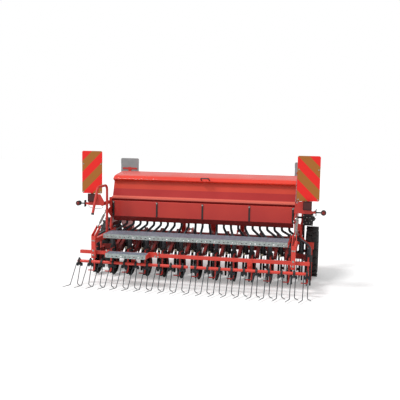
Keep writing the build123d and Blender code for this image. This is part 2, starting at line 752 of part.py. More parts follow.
marker_base_x = 1522.0 + seat
marker_base = 10.0
marker_x = 1620.0
marker_radius = 33.0
marker_depth = 52.0


def marker_lamp():
    """Round lamp facing to the rear on a rubber stalk with a thick flange at the bracket's end."""
    middle_y = board_plate_y + board_plate_steel + 15
    base = block(marker_base_x, marker_base_x + marker_base, middle_y - 27, middle_y + 27,
                 board_arm_z - 44, board_arm_z + 44)
    stalk = bar_x(marker_base_x + marker_base, marker_x - 20, middle_y, board_arm_z, 9)
    lamp = bar_y_axis(middle_y - marker_depth / 2, middle_y + marker_depth / 2, marker_x, board_arm_z,
                      marker_radius)
    return base + stalk + lamp


save("marker_lamps", *both_sides(marker_lamp()))


# ---------------------------------------------------------------- front warning boards
def front_board_bracket():
    y1 = front_board_y - seat
    y0 = y1 - 6
    middle = front_board_inner + board_width / 2
    post = [(plate_outer, 440), (plate_outer, 560), (middle - 22, 720), (middle - 22, 1432),
            (middle + 22, 1432), (middle + 22, 680), (plate_outer + 46, 440)]
    bracket = plate_xz(post, y0, y1)
    return bracket + block(middle - 112, middle + 112, y0, y1, 1398, 1424)


save("board_brackets_front", *both_sides(front_board_bracket()))
front_board_x = front_board_inner + board_width / 2
save("warning_boards_front", *both_sides(board(front_board_x, front_board_y, front_board_bottom)))

# ---------------------------------------------------------------- wheels
carrier_x = plate_outer + 30
carrier_width = 38.0


def wheel_carrier():
    outline = [(862, 372), (924, 372), (924, 452), (862, 456), (wheel_y - 10, 402), (wheel_y - 44, 372),
               (wheel_y - 40, 322), (wheel_y + 6, 302), (wheel_y + 50, 322)]
    arm_part = plate_yz(outline, carrier_x, carrier_x + carrier_width)
    arm_part += block(plate_outer, carrier_x, 862, 924, 376, 448)
    arm_part += bar_x(carrier_x, wheel_x + 48, wheel_y, wheel_radius, axle_radius)
    return arm_part + bar_x(wheel_x + 48, wheel_x + 58, wheel_y, wheel_radius, axle_radius + 14)


save("wheel_carriers", *both_sides(wheel_carrier()))


def tyre():
    """Tyre about the wheel's axis, with bars set in a chevron across its tread."""
    half = wheel_width / 2
    crown = wheel_radius - lug_height
    profile = [(rim_radius, -half + 16), (rim_radius + 30, -half + 4), (crown - 60, -half),
               (crown - 14, -half + 12), (crown, -half + 30), (crown, half - 30),
               (crown - 14, half - 12), (crown - 60, half), (rim_radius + 30, half - 4),
               (rim_radius, half - 16)]
    body = revolve(Plane.XZ * make_face(Polyline(*profile, close=True)), Axis.Z)
    bars = []
    for number in range(lug_count):
        for hand in (-1, 1):
            turn = 360 / lug_count * (number + (0.5 if hand > 0 else 0))
            bar = Pos(crown + lug_height / 2 - 7, 0, hand * (half / 2 - 4)) * Rot(hand * 38, 0, 0)
            bars.append(Rot(0, 0, turn) * bar * Box(lug_height + 10, 24, half + 8))
    ring = Cylinder(wheel_radius, wheel_width - 6) - Cylinder(crown - 20, wheel_width)
    lugs = Part() + bars
    return body + (lugs & ring)


def rim():
    half = rim_width / 2
    barrel = Cylinder(rim_radius, rim_width) - Cylinder(rim_radius - 5, rim_width)
    barrel += Pos(0, 0, half - 4) * (Cylinder(rim_radius + 12, 8) - Cylinder(rim_radius - 5, 8))
    barrel += Pos(0, 0, 4 - half) * (Cylinder(rim_radius + 12, 8) - Cylinder(rim_radius - 5, 8))
    web = Pos(0, 0, 34) * (Cylinder(rim_radius - 4, 8))
    hub = Pos(0, 0, 4) * Cylinder(56, 82)
    return barrel + web + hub - Cylinder(axle_radius + hinge_fit, rim_width)


def on_axle(shape):
    return Pos(wheel_x, wheel_y, wheel_radius) * Rot(0, 90, 0) * shape


groove = Cylinder(rim_radius + 12 + seat, rim_width) - Cylinder(rim_radius, rim_width)
tyre_right = on_axle(tyre() - groove)
rim_right = on_axle(rim())
save("tyre_right", tyre_right)
save("tyre_left", mirror_x(tyre_right))
save("rim_right", rim_right)
save("rim_left", mirror_x(rim_right))

# ---------------------------------------------------------------- seed drive
case_x = carrier_x + carrier_width + 6
case_width = 28.0
gear_box = block(case_x, 1474, 430, 590, 722, 884) + bar_x(plate_outer, case_x, 520, 820, 14)
gear_box += bar_y_axis(404, 430, 1412, 800, 46) + bar_x(1474, 1492, 500, 812, 34)
save("drive_gearbox", gear_box)
case_outline = [(496, 330), (564, 330), (572, 722 - seat), (488, 722 - seat)]
drive_case = plate_yz(case_outline, case_x, case_x + case_width)
drive_case -= bar_x(case_x, case_x + case_width, wheel_y, wheel_radius, axle_radius + 1)
save("drive_case", drive_case)


# ---------------------------------------------------------------- track eradicators
def eradicator():
    y0 = 96.0
    plate = [(plate_outer, 720), (plate_outer, 800), (1328, 780), (1346, 622), (1416, 546), (1504, 541),
             (1504, 453), (1420, 450), (1420, 502), (1330, 590), (1314, 690)]
    body = plate_xz(plate, y0, y0 + 8)
    body += block(1420, 1504, y0 + 8, y0 + 60, 452, 540) - block(1428, 1496, y0 + 8, y0 + 52, 452, 540)
    shank = [(y0 + 22, 500), (y0 + 52, 500), (y0 + 46, 300), (y0 + 10, 180), (y0 - 20, 90), (y0 + 22, 40),
             (y0 + 14, 28), (y0 - 46, 84), (y0 - 16, 190), (y0 + 22, 310)]
    return body + plate_yz(shank, 1474, 1488)


save("track_eradicators", *both_sides(eradicator()))

# ---------------------------------------------------------------- following harrow
beam_rear = harrow_beam_y - harrow_beam_side / 2
post_x0 = post_inner
post_x1 = post_inner + post_width
arm_x0 = plate_outer + 5
arm_x1 = arm_x0 + 38
save("harrow_beam", square_tube(-harrow_half, harrow_half, harrow_beam_y, harrow_beam_z,
                                harrow_beam_side, 4))


def harrow_arm():
    """Post behind the beam, the arm forwards to its pivot, and the ears for the pressure rod."""
    post = block(post_x0, post_x1, beam_rear - post_depth, beam_rear, post_bottom, post_top)
    post -= block(post_x0 + 5, post_x1 - 5, beam_rear - post_depth + 5, beam_rear - 5,
                  post_bottom, post_top)
    bar = [(beam_rear, 520), (beam_rear, 584), (lift_y, lift_z + 30), (lift_y, lift_z - 30)]
    body = post + plate_yz(bar, arm_x0, arm_x1)
    body += bar_x(arm_x0, arm_x1, lift_y, lift_z, 30)
    body -= bar_x(arm_x0, arm_x1, lift_y, lift_z, lift_radius + hinge_fit)
    ear = [(beam_rear - post_depth, post_top - 40), (beam_rear - post_depth, post_top + 10),
           (link_y - 22, link_z + 8), (link_y - 8, link_z + 20), (link_y + 16, link_z + 16),
           (link_y + 20, link_z - 14), (beam_rear, post_top - 40)]
    for x in (post_x0, post_x1 - 8):
        body += plate_yz(ear, x, x + 8)
    return body + bar_x(post_x0, post_x1, link_y, link_z, link_pin_bore - hinge_fit)


save("harrow_arms", *both_sides(harrow_arm()))


def pressure_rod():
    """Spring-loaded rod from the ears on the post up to the side plate."""
    start = Vector(rod_x, link_y, link_z)
    end = Vector(rod_x, rod_top_y, rod_top_z)
    run = end - start
    body = link(start + run * 0.026, end - run * 0.026, 7.5)
    body += link(start + run * 0.24, start + run * 0.72, rod_spring_radius)
    for eye, near in ((start, rod_x - rod_eye_half), (end, plate_outer + rod_gap)):
        body += bar_x(near, rod_x + rod_eye_half, eye.Y, eye.Z, rod_eye_radius)
        body -= bar_x(near, rod_x + rod_eye_half, eye.Y, eye.Z, link_pin_bore)
    return body


save("harrow_pressure_rods", *both_sides(pressure_rod()))

# section hangers on the beam: plate and roll pin
roll_z = 352.0
hang_steel = 6.0
hang_gap = 5.0


def beam_hanger(x):
    plate = block(x - 30, x + 30, beam_rear - hang_steel, beam_rear, 328, harrow_beam_z + 21)
    pin_end = beam_rear - hang_steel - hang_gap - 8 - 4
    pin = bar_y_axis(pin_end, beam_rear, x, roll_z, roll_radius)
    return plate + pin + bar_y_axis(pin_end - 6, pin_end, x, roll_z, roll_radius + 6)


save("harrow_hangers", beam_hanger(section_centre), beam_hanger(-section_centre))
tube_inner_end = section_centre - section_half
first_tine = 82.0


def section_tube(sign):
    x0 = sign * tube_inner_end
    x1 = sign * (section_centre + section_half)
    tube = bar_x(min(x0, x1), max(x0, x1), harrow_tube_y, harrow_tube_z, harrow_tube_radius)
    c = sign * section_centre
    y1 = beam_rear - hang_steel - hang_gap
    hanger = block(c - 27, c + 27, y1 - 8, y1, harrow_tube_z, roll_z + 24)
    hanger += block(c - 27, c + 27, harrow_tube_y, y1, harrow_tube_z, harrow_tube_z + 14)
    hanger -= bar_y_axis(y1 - 8, y1, c, roll_z, roll_radius + hinge_fit)
    return tube + hanger


def tine_places(sign):
    return [sign * (first_tine + tine_pitch * number) for number in range(tine_count)]


coil_y = harrow_tube_y + 6
coil_z = harrow_tube_z - harrow_tube_radius - tine_coil_radius - 3
clamp_half = 13.0


def clamp(x):
    body = bar_x(x - clamp_half, x + clamp_half, harrow_tube_y, harrow_tube_z, 30)
    body += block(x - clamp_half, x + clamp_half, coil_y - 14, coil_y + 14, coil_z - 8, harrow_tube_z)
    body += block(x - 8, x + 8, harrow_tube_y - 10, harrow_tube_y + 10, harrow_tube_z, harrow_tube_z + 44)
    return body - bar_x(x - clamp_half, x + clamp_half, harrow_tube_y, harrow_tube_z,
                        harrow_tube_radius + seat)


# One line for each leg of a tine: its side, where it leaves the coil to that side of the clamp,
# its kink's Y and Z, its tail's reach sideways and rearwards, its tip's Z.
tine_legs = [
    (-1, tine_coil_end - tine_radius, -960.0, 28.0, -42.0, -141.7, 30.0),
    (1, clamp_half + seat + tine_radius, -858.0, 22.0, 48.0, -45.0, 13.0)]
tine_bend = 22.0


def tine(x):
    """One coil each side of the clamp, its leg down to the kink and its tail out behind."""
    wires = []
    for hand, leave, kink_y, kink_z, out, back, tip_z in tine_legs:
        leg_x = x + hand * leave
        near = x + hand * (clamp_half + seat)
        far = x + hand * tine_coil_end
        coil = bar_x(min(near, far), max(near, far), coil_y, coil_z, tine_coil_radius)
        coil -= bar_x(min(near, far), max(near, far), coil_y, coil_z, tine_coil_radius - 2 * tine_radius)
        start = (leg_x, coil_y - tine_coil_radius + tine_radius, coil_z + 4)
        path = FilletPolyline(start, (leg_x, kink_y, kink_z), (leg_x + out, kink_y + back, tip_z),
                              radius=tine_bend)
        wire = sweep(Plane(origin=path @ 0, z_dir=path % 0) * RegularPolygon(tine_radius, 6), path=path)
        wires.append(coil + wire)
    return wires


for sign, label in ((-1, "left"), (1, "right")):
    save(f"harrow_tube_{label}", section_tube(sign))
    save(f"tine_clamps_{label}", *[clamp(x) for x in tine_places(sign)])
    wires = []
    for x in tine_places(sign):
        wires += tine(x)
    save(f"harrow_tines_{label}", *wires)

# ---------------------------------------------------------------- step on the harrow beam
step_outer = 182.0           # step's outer end to the side of the left post's inner face
step_width = 528.0
step_x0 = step_outer - post_inner
step_x1 = step_x0 + step_width
step_rear = -826.0
step_front = beam_rear - 6
step_top = 430.0
step_depth = 55.0


def step_bracket(x0, x1, foot0, foot1):
    """Web at the step's end with a foot plate bolted to the beam's rear face."""
    web = [(beam_rear, harrow_beam_z - 21), (beam_rear, 444), (step_rear + 60, step_top - 2),
           (step_rear + 4, step_top - 6), (step_rear + 4, step_top - step_depth),
           (beam_rear - 40, step_top - step_depth)]
    return plate_yz(web, x0, x1) + block(foot0, foot1, beam_rear - 6, beam_rear, 376, 444)


save("harrow_step", tread(step_x0, step_x1, step_rear, step_front, step_top, step_depth))
save("step_brackets", step_bracket(step_x1 + seat, step_x1 + 8, step_x1 + 8, step_x1 + 140),
     step_bracket(step_x0 - 8, step_x0 - seat, step_x0 - 60, step_x0 - 8))
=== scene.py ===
import json
import math

import bpy
import numpy as np
from mathutils import Matrix, Vector


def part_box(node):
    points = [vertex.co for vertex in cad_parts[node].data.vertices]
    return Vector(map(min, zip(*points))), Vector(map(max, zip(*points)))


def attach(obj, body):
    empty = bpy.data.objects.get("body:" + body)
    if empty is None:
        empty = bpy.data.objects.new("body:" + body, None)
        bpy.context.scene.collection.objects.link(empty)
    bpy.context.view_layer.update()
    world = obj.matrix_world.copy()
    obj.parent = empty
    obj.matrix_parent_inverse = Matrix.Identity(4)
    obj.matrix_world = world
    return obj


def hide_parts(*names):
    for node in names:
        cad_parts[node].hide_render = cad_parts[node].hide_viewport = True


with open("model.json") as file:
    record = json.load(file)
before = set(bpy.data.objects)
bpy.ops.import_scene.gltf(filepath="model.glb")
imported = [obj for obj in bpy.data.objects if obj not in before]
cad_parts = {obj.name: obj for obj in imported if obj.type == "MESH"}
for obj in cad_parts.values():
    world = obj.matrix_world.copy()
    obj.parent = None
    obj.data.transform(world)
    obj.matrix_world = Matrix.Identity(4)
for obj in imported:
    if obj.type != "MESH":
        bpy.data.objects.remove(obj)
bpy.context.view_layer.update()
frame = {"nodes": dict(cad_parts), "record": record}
nodes = frame["nodes"]
scene = bpy.context.scene
print("frame loaded:", len(nodes), "nodes")


# Camera: metres and radians; it stands behind the drill, to its right, and looks down a little.
cameraSet = {"place": (1.6834, -8.3914, 1.9584), "yaw": 0.2010, "pitch": 0.1039, "roll": 0.0169,
             "lens": 57.4, "sensor": 36.0}


def makeCamera(place, yaw, pitch, roll, lens, sensor):
    # Viewing direction from yaw and pitch, then right and up turned about it by roll.
    ahead = Vector((-math.sin(yaw) * math.cos(pitch), math.cos(yaw) * math.cos(pitch), -math.sin(pitch)))
    right = Vector((math.cos(yaw), math.sin(yaw), 0.0))
    up = right.cross(ahead)
    sideways = right * math.cos(roll) + up * math.sin(roll)
    upwards = up * math.cos(roll) - right * math.sin(roll)
    data = bpy.data.cameras.new("camera")
    data.lens = lens
    data.sensor_width = sensor
    data.clip_end = 200.0
    camera = bpy.data.objects.new("camera", data)
    scene.collection.objects.link(camera)
    turn = Matrix((sideways, upwards, -ahead)).transposed()
    camera.matrix_world = Matrix.Translation(Vector(place)) @ turn.to_4x4()
    scene.camera = camera


makeCamera(**cameraSet)
scene.view_settings.view_transform = "Standard"


# Nodes and colours
def hexToLinear(code):
    # Each channel from sRGB to linear light: its dark end over 12.92, the rest raised to the power 2.4.
    values = [int(code[i:i + 2], 16) / 255 for i in (0, 2, 4)]
    return tuple(v / 12.92 if v <= 0.04045 else ((v + 0.055) / 1.055) ** 2.4 for v in values) + (1.0,)


def addNode(tree, kind, settings=(), links=(), stops=()):
    # One node: settings are attribute or input values, links are input name or number to output socket,
    # and stops are the places and sRGB hex colours of a ramp.
    made = tree.nodes.new(kind)
    for key, value in dict(settings).items():
        if isinstance(key, str) and hasattr(made, key):
            setattr(made, key, value)
        else:
            made.inputs[key].default_value = value
    for key, socket in dict(links).items():
        tree.links.new(socket, made.inputs[key])
    if stops:
        points = made.color_ramp.elements
        while len(points) < len(stops):
            points.new(0.5)
        for point, (place, code) in zip(points, stops):
            point.position = place
            point.color = hexToLinear(code)
    return made


def newMaterial(name):
    # A material with an empty tree, and the Object coordinates, in metres, that its patterns are laid in.
    material = bpy.data.materials.new(name)
    material.use_nodes = True
    tree = material.node_tree
    tree.nodes.clear()
    coords = tree.nodes.new("ShaderNodeTexCoord").outputs["Object"]
    return material, tree, {"Vector": coords}


def grain(size, detail):
    # Settings of a noise whose features are so many millimetres across: its scale is 1000 over that size.
    return {"Scale": 1000.0 / size, "Detail": detail}


def span(low, high, newLow, newHigh):
    # Settings that carry low to newLow and high to newHigh along a straight line, and hold beyond them.
    return {"From Min": low, "From Max": high, "To Min": newLow, "To Max": newHigh}


def closeMaterial(tree, settings, colour, wear, roughness, height, depth):
    # Principled shader over a bump: a height pattern times a depth in metres. The roughness goes from the
    # first of its two values to the second as the wear pattern goes from 0.3 to 0.7.
    rough = addNode(tree, "ShaderNodeMapRange", span(0.3, 0.7, *roughness), {"Value": wear})
    bump = addNode(tree, "ShaderNodeBump", {"Strength": 1.0, "Distance": depth}, {"Height": height})
    shader = addNode(tree, "ShaderNodeBsdfPrincipled", settings,
                     {"Base Color": colour, "Roughness": rough.outputs["Result"], "Normal": bump.outputs[0]})
    addNode(tree, "ShaderNodeOutputMaterial", {}, {"Surface": shader.outputs[0]})


# Materials: pattern sizes in millimetres, heights and bump depths in metres
enamelSet = {"drift": 520.0, "film": 160.0, "peel": 4.5, "peelDepth": 0.00003, "coatRoughness": 0.10,
             "ior": 1.5, "rougher": (-0.04, 0.06), "dust": "5a4a44", "dustHeight": (0.05, 0.60)}


def closeEnamel(tree, at, colour, wear, roughness, coat, gloss):
    # Orange peel for the bump, a clear coat, and a roughness on both sides of the given one.
    peel = addNode(tree, "ShaderNodeTexNoise", grain(enamelSet["peel"], 1.0), at)
    ends = [roughness + change for change in enamelSet["rougher"]]
    closeMaterial(tree, {"Coat Weight": coat, "Coat Roughness": enamelSet["coatRoughness"],
                         "IOR": enamelSet["ior"], "Specular IOR Level": gloss},
                  colour.outputs[2], wear, ends, peel.outputs["Fac"], enamelSet["peelDepth"])


def paintedSteel(name, light, dark, roughness, coat=0.35, grime=0.12, gloss=0.35):
    # Sprayed enamel on sheet or tube: faint orange peel, a slow drift between two tones, and a dull film of
    # dust whose strength falls from the ground upwards.
    material, tree, at = newMaterial(name)
    drift = addNode(tree, "ShaderNodeTexNoise", grain(enamelSet["drift"], 2.0), at).outputs["Fac"]
    base = addNode(tree, "ShaderNodeValToRGB", {}, {"Fac": drift}, [(0.30, dark), (0.70, light)])
    film = addNode(tree, "ShaderNodeTexNoise", grain(enamelSet["film"], 4.0), at).outputs["Fac"]
    height = addNode(tree, "ShaderNodeSeparateXYZ", {}, at).outputs["Z"]
    low = addNode(tree, "ShaderNodeMapRange", span(*enamelSet["dustHeight"], grime, 0.0), {"Value": height})
    dusty = addNode(tree, "ShaderNodeMath", {"operation": "MULTIPLY"}, {0: low.outputs["Result"], 1: film})
    colour = addNode(tree, "ShaderNodeMix", {"data_type": "RGBA", 7: hexToLinear(enamelSet["dust"])},
                     {0: dusty.outputs[0], 6: base.outputs[0]})
    closeEnamel(tree, at, colour, film, roughness, coat, gloss)
    return material


shadeBandSet = {"crease": 0.003, "step": 0.002, "coat": 0.15, "gloss": 0.25}


def enamelWithPaintedShade(name, tones, splitZ, roughness, ledgeHighlight=None):
    # Sprayed enamel with one pair of tones below a crease at splitZ and another above it; the pair below is
    # painted shade. A ledge highlight is a painted highlight tone on what stands behind its first value.
    material, tree, at = newMaterial(name)
    place = addNode(tree, "ShaderNodeSeparateXYZ", {}, at)
    drift = addNode(tree, "ShaderNodeTexNoise", grain(enamelSet["drift"], 2.0), at).outputs["Fac"]
    # below: the pair darkened as painted shade; above: the paint's own pair
    below, above = (addNode(tree, "ShaderNodeValToRGB", {}, {"Fac": drift}, [(0.30, dark), (0.70, light)])
                    for dark, light in tones)
    reach = shadeBandSet["crease"]
    upper = addNode(tree, "ShaderNodeMapRange", span(splitZ - reach, splitZ + reach, 0.0, 1.0),
                    {"Value": place.outputs["Z"]})
    colour = addNode(tree, "ShaderNodeMix", {"data_type": "RGBA"},
                     {0: upper.outputs["Result"], 6: below.outputs[0], 7: above.outputs[0]})
    # painted highlight: a lighter tone on what stands behind the ledge's Y
    if ledgeHighlight:
        behind, tone = ledgeHighlight
        reach = shadeBandSet["step"]
        highlightShare = addNode(tree, "ShaderNodeMapRange", span(behind - reach, behind + reach, 1.0, 0.0),
                          {"Value": place.outputs["Y"]})
        colour = addNode(tree, "ShaderNodeMix", {"data_type": "RGBA", 7: hexToLinear(tone)},
                         {0: highlightShare.outputs["Result"], 6: colour.outputs[2]})
    closeEnamel(tree, at, colour, drift, roughness, shadeBandSet["coat"], shadeBandSet["gloss"])
    return material


zincSheetSet = {"edge": ("949f9d", "a6b1af", "b9c3c1"), "upwardReflection": ("7c8492", "8b93a3", "9ba3b1"),
                "flake": 14.0, "cloud": 90.0, "metallic": 0.55, "roughness": (0.38, 0.55), "depth": 0.0001}


def galvanisedSheet(name, edge, upwardReflection, flake, cloud, metallic, roughness, depth):
    # Hot-dip galvanised pressed sheet: grey spangle in flakes, dull satin, and a darker, bluer tone on faces
    # that point up, a painted reflection.
    material, tree, at = newMaterial(name)
    flakes = addNode(tree, "ShaderNodeTexVoronoi", {"Scale": 1000.0 / flake}, at)
    spangle = addNode(tree, "ShaderNodeSeparateColor", {}, {"Color": flakes.outputs["Color"]}).outputs[0]
    sides, top = (addNode(tree, "ShaderNodeValToRGB", {}, {"Fac": spangle}, list(zip((0.0, 0.5, 1.0), tones)))
                  for tones in (edge, upwardReflection))
    normal = tree.nodes.new("ShaderNodeNewGeometry").outputs["Normal"]
    upward = addNode(tree, "ShaderNodeSeparateXYZ", {}, {"Vector": normal}).outputs["Z"]
    # faces that point up take the painted reflection tones
    upper = addNode(tree, "ShaderNodeMapRange", span(0.5, 0.7, 0.0, 1.0), {"Value": upward})
    colour = addNode(tree, "ShaderNodeMix", {"data_type": "RGBA"},
                     {0: upper.outputs["Result"], 6: sides.outputs[0], 7: top.outputs[0]})
    clouds = addNode(tree, "ShaderNodeTexNoise", grain(cloud, 3.0), at).outputs["Fac"]
    closeMaterial(tree, {"Metallic": metallic}, colour.outputs[2], clouds, roughness, clouds, depth)
    return material


def darkSteel(name, light, dark, roughness, metallic=0.85, mark=18.0, depth=0.00008):
    # Oil-darkened, ground or plated steel: handling marks set both its tone and its shine.
    material, tree, at = newMaterial(name)
    marks = addNode(tree, "ShaderNodeTexNoise", grain(mark, 4.0), at).outputs["Fac"]
    colour = addNode(tree, "ShaderNodeValToRGB", {}, {"Fac": marks}, [(0.32, dark), (0.68, light)])
    ends = (roughness - 0.08, roughness + 0.1)
    closeMaterial(tree, {"Metallic": metallic}, colour.outputs[0], marks, ends, marks, depth)
    return material


def mouldedSkin(name, light, dark, roughness, fine=2.4, depth=0.00012, cloud=60.0):
    # Moulded plastic or rubber, or a painted casting: fine even grain, a soft highlight, faint clouds.
    material, tree, at = newMaterial(name)
    clouds = addNode(tree, "ShaderNodeTexNoise", grain(cloud, 3.0), at).outputs["Fac"]
    colour = addNode(tree, "ShaderNodeValToRGB", {}, {"Fac": clouds}, [(0.3, dark), (0.7, light)])
    texture = addNode(tree, "ShaderNodeTexNoise", grain(fine, 2.0), at)
    ends = (roughness - 0.06, roughness + 0.08)
    closeMaterial(tree, {"IOR": 1.5}, colour.outputs[0], clouds, ends, texture.outputs["Fac"], depth)
    return material


filmSet = {"pitch": 282.8, "shift": 3268.0, "rear": ("ab6a2c", "ee2a26"), "front": ("e4e4e0", "d8322e"),
           "bare": ("8f9596", "a2a7a8"), "wear": 130.0, "cell": 6.0, "roughness": (0.46, 0.56),
           "gloss": 0.25, "depth": 0.00006}


def stripedFilm(name, pitch, shift, rear, front, bare, wear, cell, roughness, gloss, depth):
    # Reflective warning film: a band's number is the distance out from the middle plus the height, over the
    # pitch, so bands fall outwards on both boards. Red and amber behind, red and white in front, bare grey
    # backs; the small cells of the film are its bump.
    material, tree, at = newMaterial(name)
    place = addNode(tree, "ShaderNodeSeparateXYZ", {}, at)
    outwards = addNode(tree, "ShaderNodeMath", {"operation": "ABSOLUTE"}, {0: place.outputs["X"]})
    along = addNode(tree, "ShaderNodeMath", {"operation": "ADD"},
                    {0: outwards.outputs[0], 1: place.outputs["Z"]})
    turns = addNode(tree, "ShaderNodeMath",
                    {"operation": "MULTIPLY_ADD", 1: 1000.0 / pitch, 2: -shift / pitch},
                    {0: along.outputs[0]})
    band = addNode(tree, "ShaderNodeMath", {"operation": "FRACT"}, {0: turns.outputs[0]}).outputs[0]
    rearward, forward = (addNode(tree, "ShaderNodeValToRGB", {}, {"Fac": band}, list(zip((0.0, 0.5), tones)))
                         for tones in (rear, front))
    for stripes in (rearward, forward):
        stripes.color_ramp.interpolation = "CONSTANT"
    inFront = addNode(tree, "ShaderNodeMapRange", span(0.0, 0.01, 0.0, 1.0), {"Value": place.outputs["Y"]})
    face = addNode(tree, "ShaderNodeMix", {"data_type": "RGBA"},
                   {0: inFront.outputs["Result"], 6: rearward.outputs[0], 7: forward.outputs[0]})
    normal = tree.nodes.new("ShaderNodeNewGeometry").outputs["Normal"]
    facing = addNode(tree, "ShaderNodeSeparateXYZ", {}, {"Vector": normal}).outputs["Y"]
    side = addNode(tree, "ShaderNodeMapRange", span(0.0, 1.0, -1.0, 1.0),
                   {"Value": inFront.outputs["Result"]})
    outward = addNode(tree, "ShaderNodeMath", {"operation": "MULTIPLY"},
                      {0: facing, 1: side.outputs["Result"]})
    shown = addNode(tree, "ShaderNodeMapRange", span(0.45, 0.55, 0.0, 1.0), {"Value": outward.outputs[0]})
    worn = addNode(tree, "ShaderNodeTexNoise", grain(wear, 4.0), at).outputs["Fac"]
    back = addNode(tree, "ShaderNodeValToRGB", {}, {"Fac": worn}, list(zip((0.3, 0.7), bare)))
    colour = addNode(tree, "ShaderNodeMix", {"data_type": "RGBA"},
                     {0: shown.outputs["Result"], 6: back.outputs[0], 7: face.outputs[2]})
    cells = addNode(tree, "ShaderNodeTexVoronoi", {"Scale": 1000.0 / cell, "feature": "DISTANCE_TO_EDGE"}, at)
    closeMaterial(tree, {"Specular IOR Level": gloss}, colour.outputs[2], worn, roughness,
                  cells.outputs["Distance"], depth)
    return material


# Hopper: the darker pair below the crease at 1.186 is painted shade, and the ledge tone de6c5c is a painted
# highlight.
matHopperShadeAndHighlight = enamelWithPaintedShade("gloss red enamel on hopper sheet", (("a82a2a", "b4302e"), ("c63f31", "d24835")),
                        1.186, 0.36, (-0.038, "de6c5c"))
matLid = paintedSteel("gloss red enamel on lid sheet", "ea3d28", "e03420", 0.30)
# Cover: the dark pair below the crease at 0.812 is painted shade on the fold, whose own paint is the panel's
# red.
matCoverShaded = enamelWithPaintedShade("gloss red enamel on cover sheet, painted shade on the fold", (("7a2624", "842a27"), ("bc3632", "ca4136")),
                       0.812, 0.34)
matFrame = paintedSteel("red powder coat on frame steel", "cc3a30", "bd332b", 0.42, coat=0.15)
# Coulter arms: the frame's red darkened as painted shade for their place under the walkway.
matArmShaded = paintedSteel("red powder coat on coulter steel, darkened as painted shade", "8f2723", "7b201e", 0.45, coat=0.1)
matHarrow = paintedSteel("red powder coat on harrow steel", "e24638", "d43e32", 0.40, coat=0.2)
matSkid = paintedSteel("bright red powder coat on skid steel", "cf3a31", "bd302a", 0.42, coat=0.15)
matBlackMetal = mouldedSkin("satin black enamel on steel", "2b2b2d", "202022", 0.42, 5.0)
matBlackCast = mouldedSkin("black painted casting", "2a2a2b", "1d1d1e", 0.55, 3.0, 0.0003)
matBlackPlastic = mouldedSkin("moulded black nylon", "2c2c2e", "222224", 0.48)
# Seed tubes: the black is lightened to blue-grey as a painted sheen.
matTubeSheen = mouldedSkin("ribbed black seed tube, blue-grey as painted sheen", "32373d", "25292e", 0.30, 8.0)
matRubber = mouldedSkin("moulded black rubber", "2a2a2a", "202020", 0.62)
matTyre = mouldedSkin("vulcanised tyre rubber", "2f2f2f", "242424", 0.72, 4.0, 0.0004)
matRim = paintedSteel("light grey wheel enamel", "b7b9b7", "a7a9a8", 0.40, coat=0.2)
matDisc = darkSteel("ground steel disc", "4b4a4a", "353433", 0.36)
matSpring = darkSteel("oil tempered spring wire", "353d42", "272e32", 0.46, 0.35)
matZinc = darkSteel("zinc plated steel", "b9bbb6", "a2a49f", 0.34)
matPin = darkSteel("turned plated pin", "c2c2c0", "a9a9a8", 0.22)
matGalvanised = galvanisedSheet("hot dip galvanised sheet", **zincSheetSet)
matStripe = stripedFilm("reflective warning film", **filmSet)
matLamp = mouldedSkin("moulded red lamp lens", "8a1c16", "74150f", 0.22, 6.0, 0.0003)
matAmberLens = mouldedSkin("moulded amber lamp lens", "8e4a12", "7a3c0c", 0.22, 6.0, 0.0003)
matWhiteLens = mouldedSkin("moulded clear lamp lens", "d9dad8", "c9cbc9", 0.18, 6.0, 0.0003)
matLampHousing = mouldedSkin("dark red lamp housing", "4f1512", "3c100e", 0.40, 6.0)
matBlackSpring = darkSteel("black lacquered spring wire", "34363a", "26282b", 0.42, 0.5)
# Knobs: the cream is lighter than their own colour, painted light against the walkway's shade.
matCreamLit = mouldedSkin("cream nylon, lightened as painted light", "f2efd2", "e6e2c2", 0.40)

slotMaterial = {
    "red_hopper": matHopperShadeAndHighlight, "red_lid": matLid, "red_cover": matCoverShaded, "red_frame": matFrame,
    "red_arm": matArmShaded, "black_metal": matBlackMetal, "black_cast": matBlackCast,
    "black_plastic": matBlackPlastic, "black_tube": matTubeSheen, "black_rubber": matRubber,
    "tyre_rubber": matTyre, "rim_grey": matRim, "disc_steel": matDisc, "spring_steel": matSpring,
    "zinc_steel": matZinc, "pin_steel": matPin, "galvanised": matGalvanised, "board_paint": matStripe,
    "lamp_red": matLampHousing}
nodeMaterial = {"depth_skids": matSkid}  # where paint differs from the slot's
for name in ("beam", "arms", "hangers", "tube_left", "tube_right"):
    nodeMaterial["harrow_" + name] = matHarrow
for name in ("step_brackets", "track_eradicators"):
    nodeMaterial[name] = matHarrow
for entry in frame["record"]["subparts"]:
    target = nodes[entry["node"]]
    target.data.materials.clear()
    target.data.materials.append(nodeMaterial.get(entry["node"], slotMaterial[entry["material_slot"]]))
print("materials ready")


# Shapes as arrays: a part is its points, its quads and its closing faces
def unit(v):
    # The same direction with length one.
    v = np.asarray(v, float)
    return v / np.linalg.norm(v, axis=-1, keepdims=True)


def gridPart(rings, closed=True, caps=True):
    # Quads between neighbouring rings of points; the first and last ring are closed by one face each.
    rings = np.asarray(rings, float)
    rows, columns = rings.shape[:2]
    i, j = np.meshgrid(np.arange(rows - 1), np.arange(columns if closed else columns - 1), indexing="ij")
    first = i * columns + j
    second = i * columns + (j + 1) % columns
    quads = np.stack([first, second, second + columns, first + columns], axis=-1).reshape(-1, 4)
    ends = [np.arange(columns)[::-1], np.arange(columns) + (rows - 1) * columns] if caps else []
    return rings.reshape(-1, 3), quads, ends


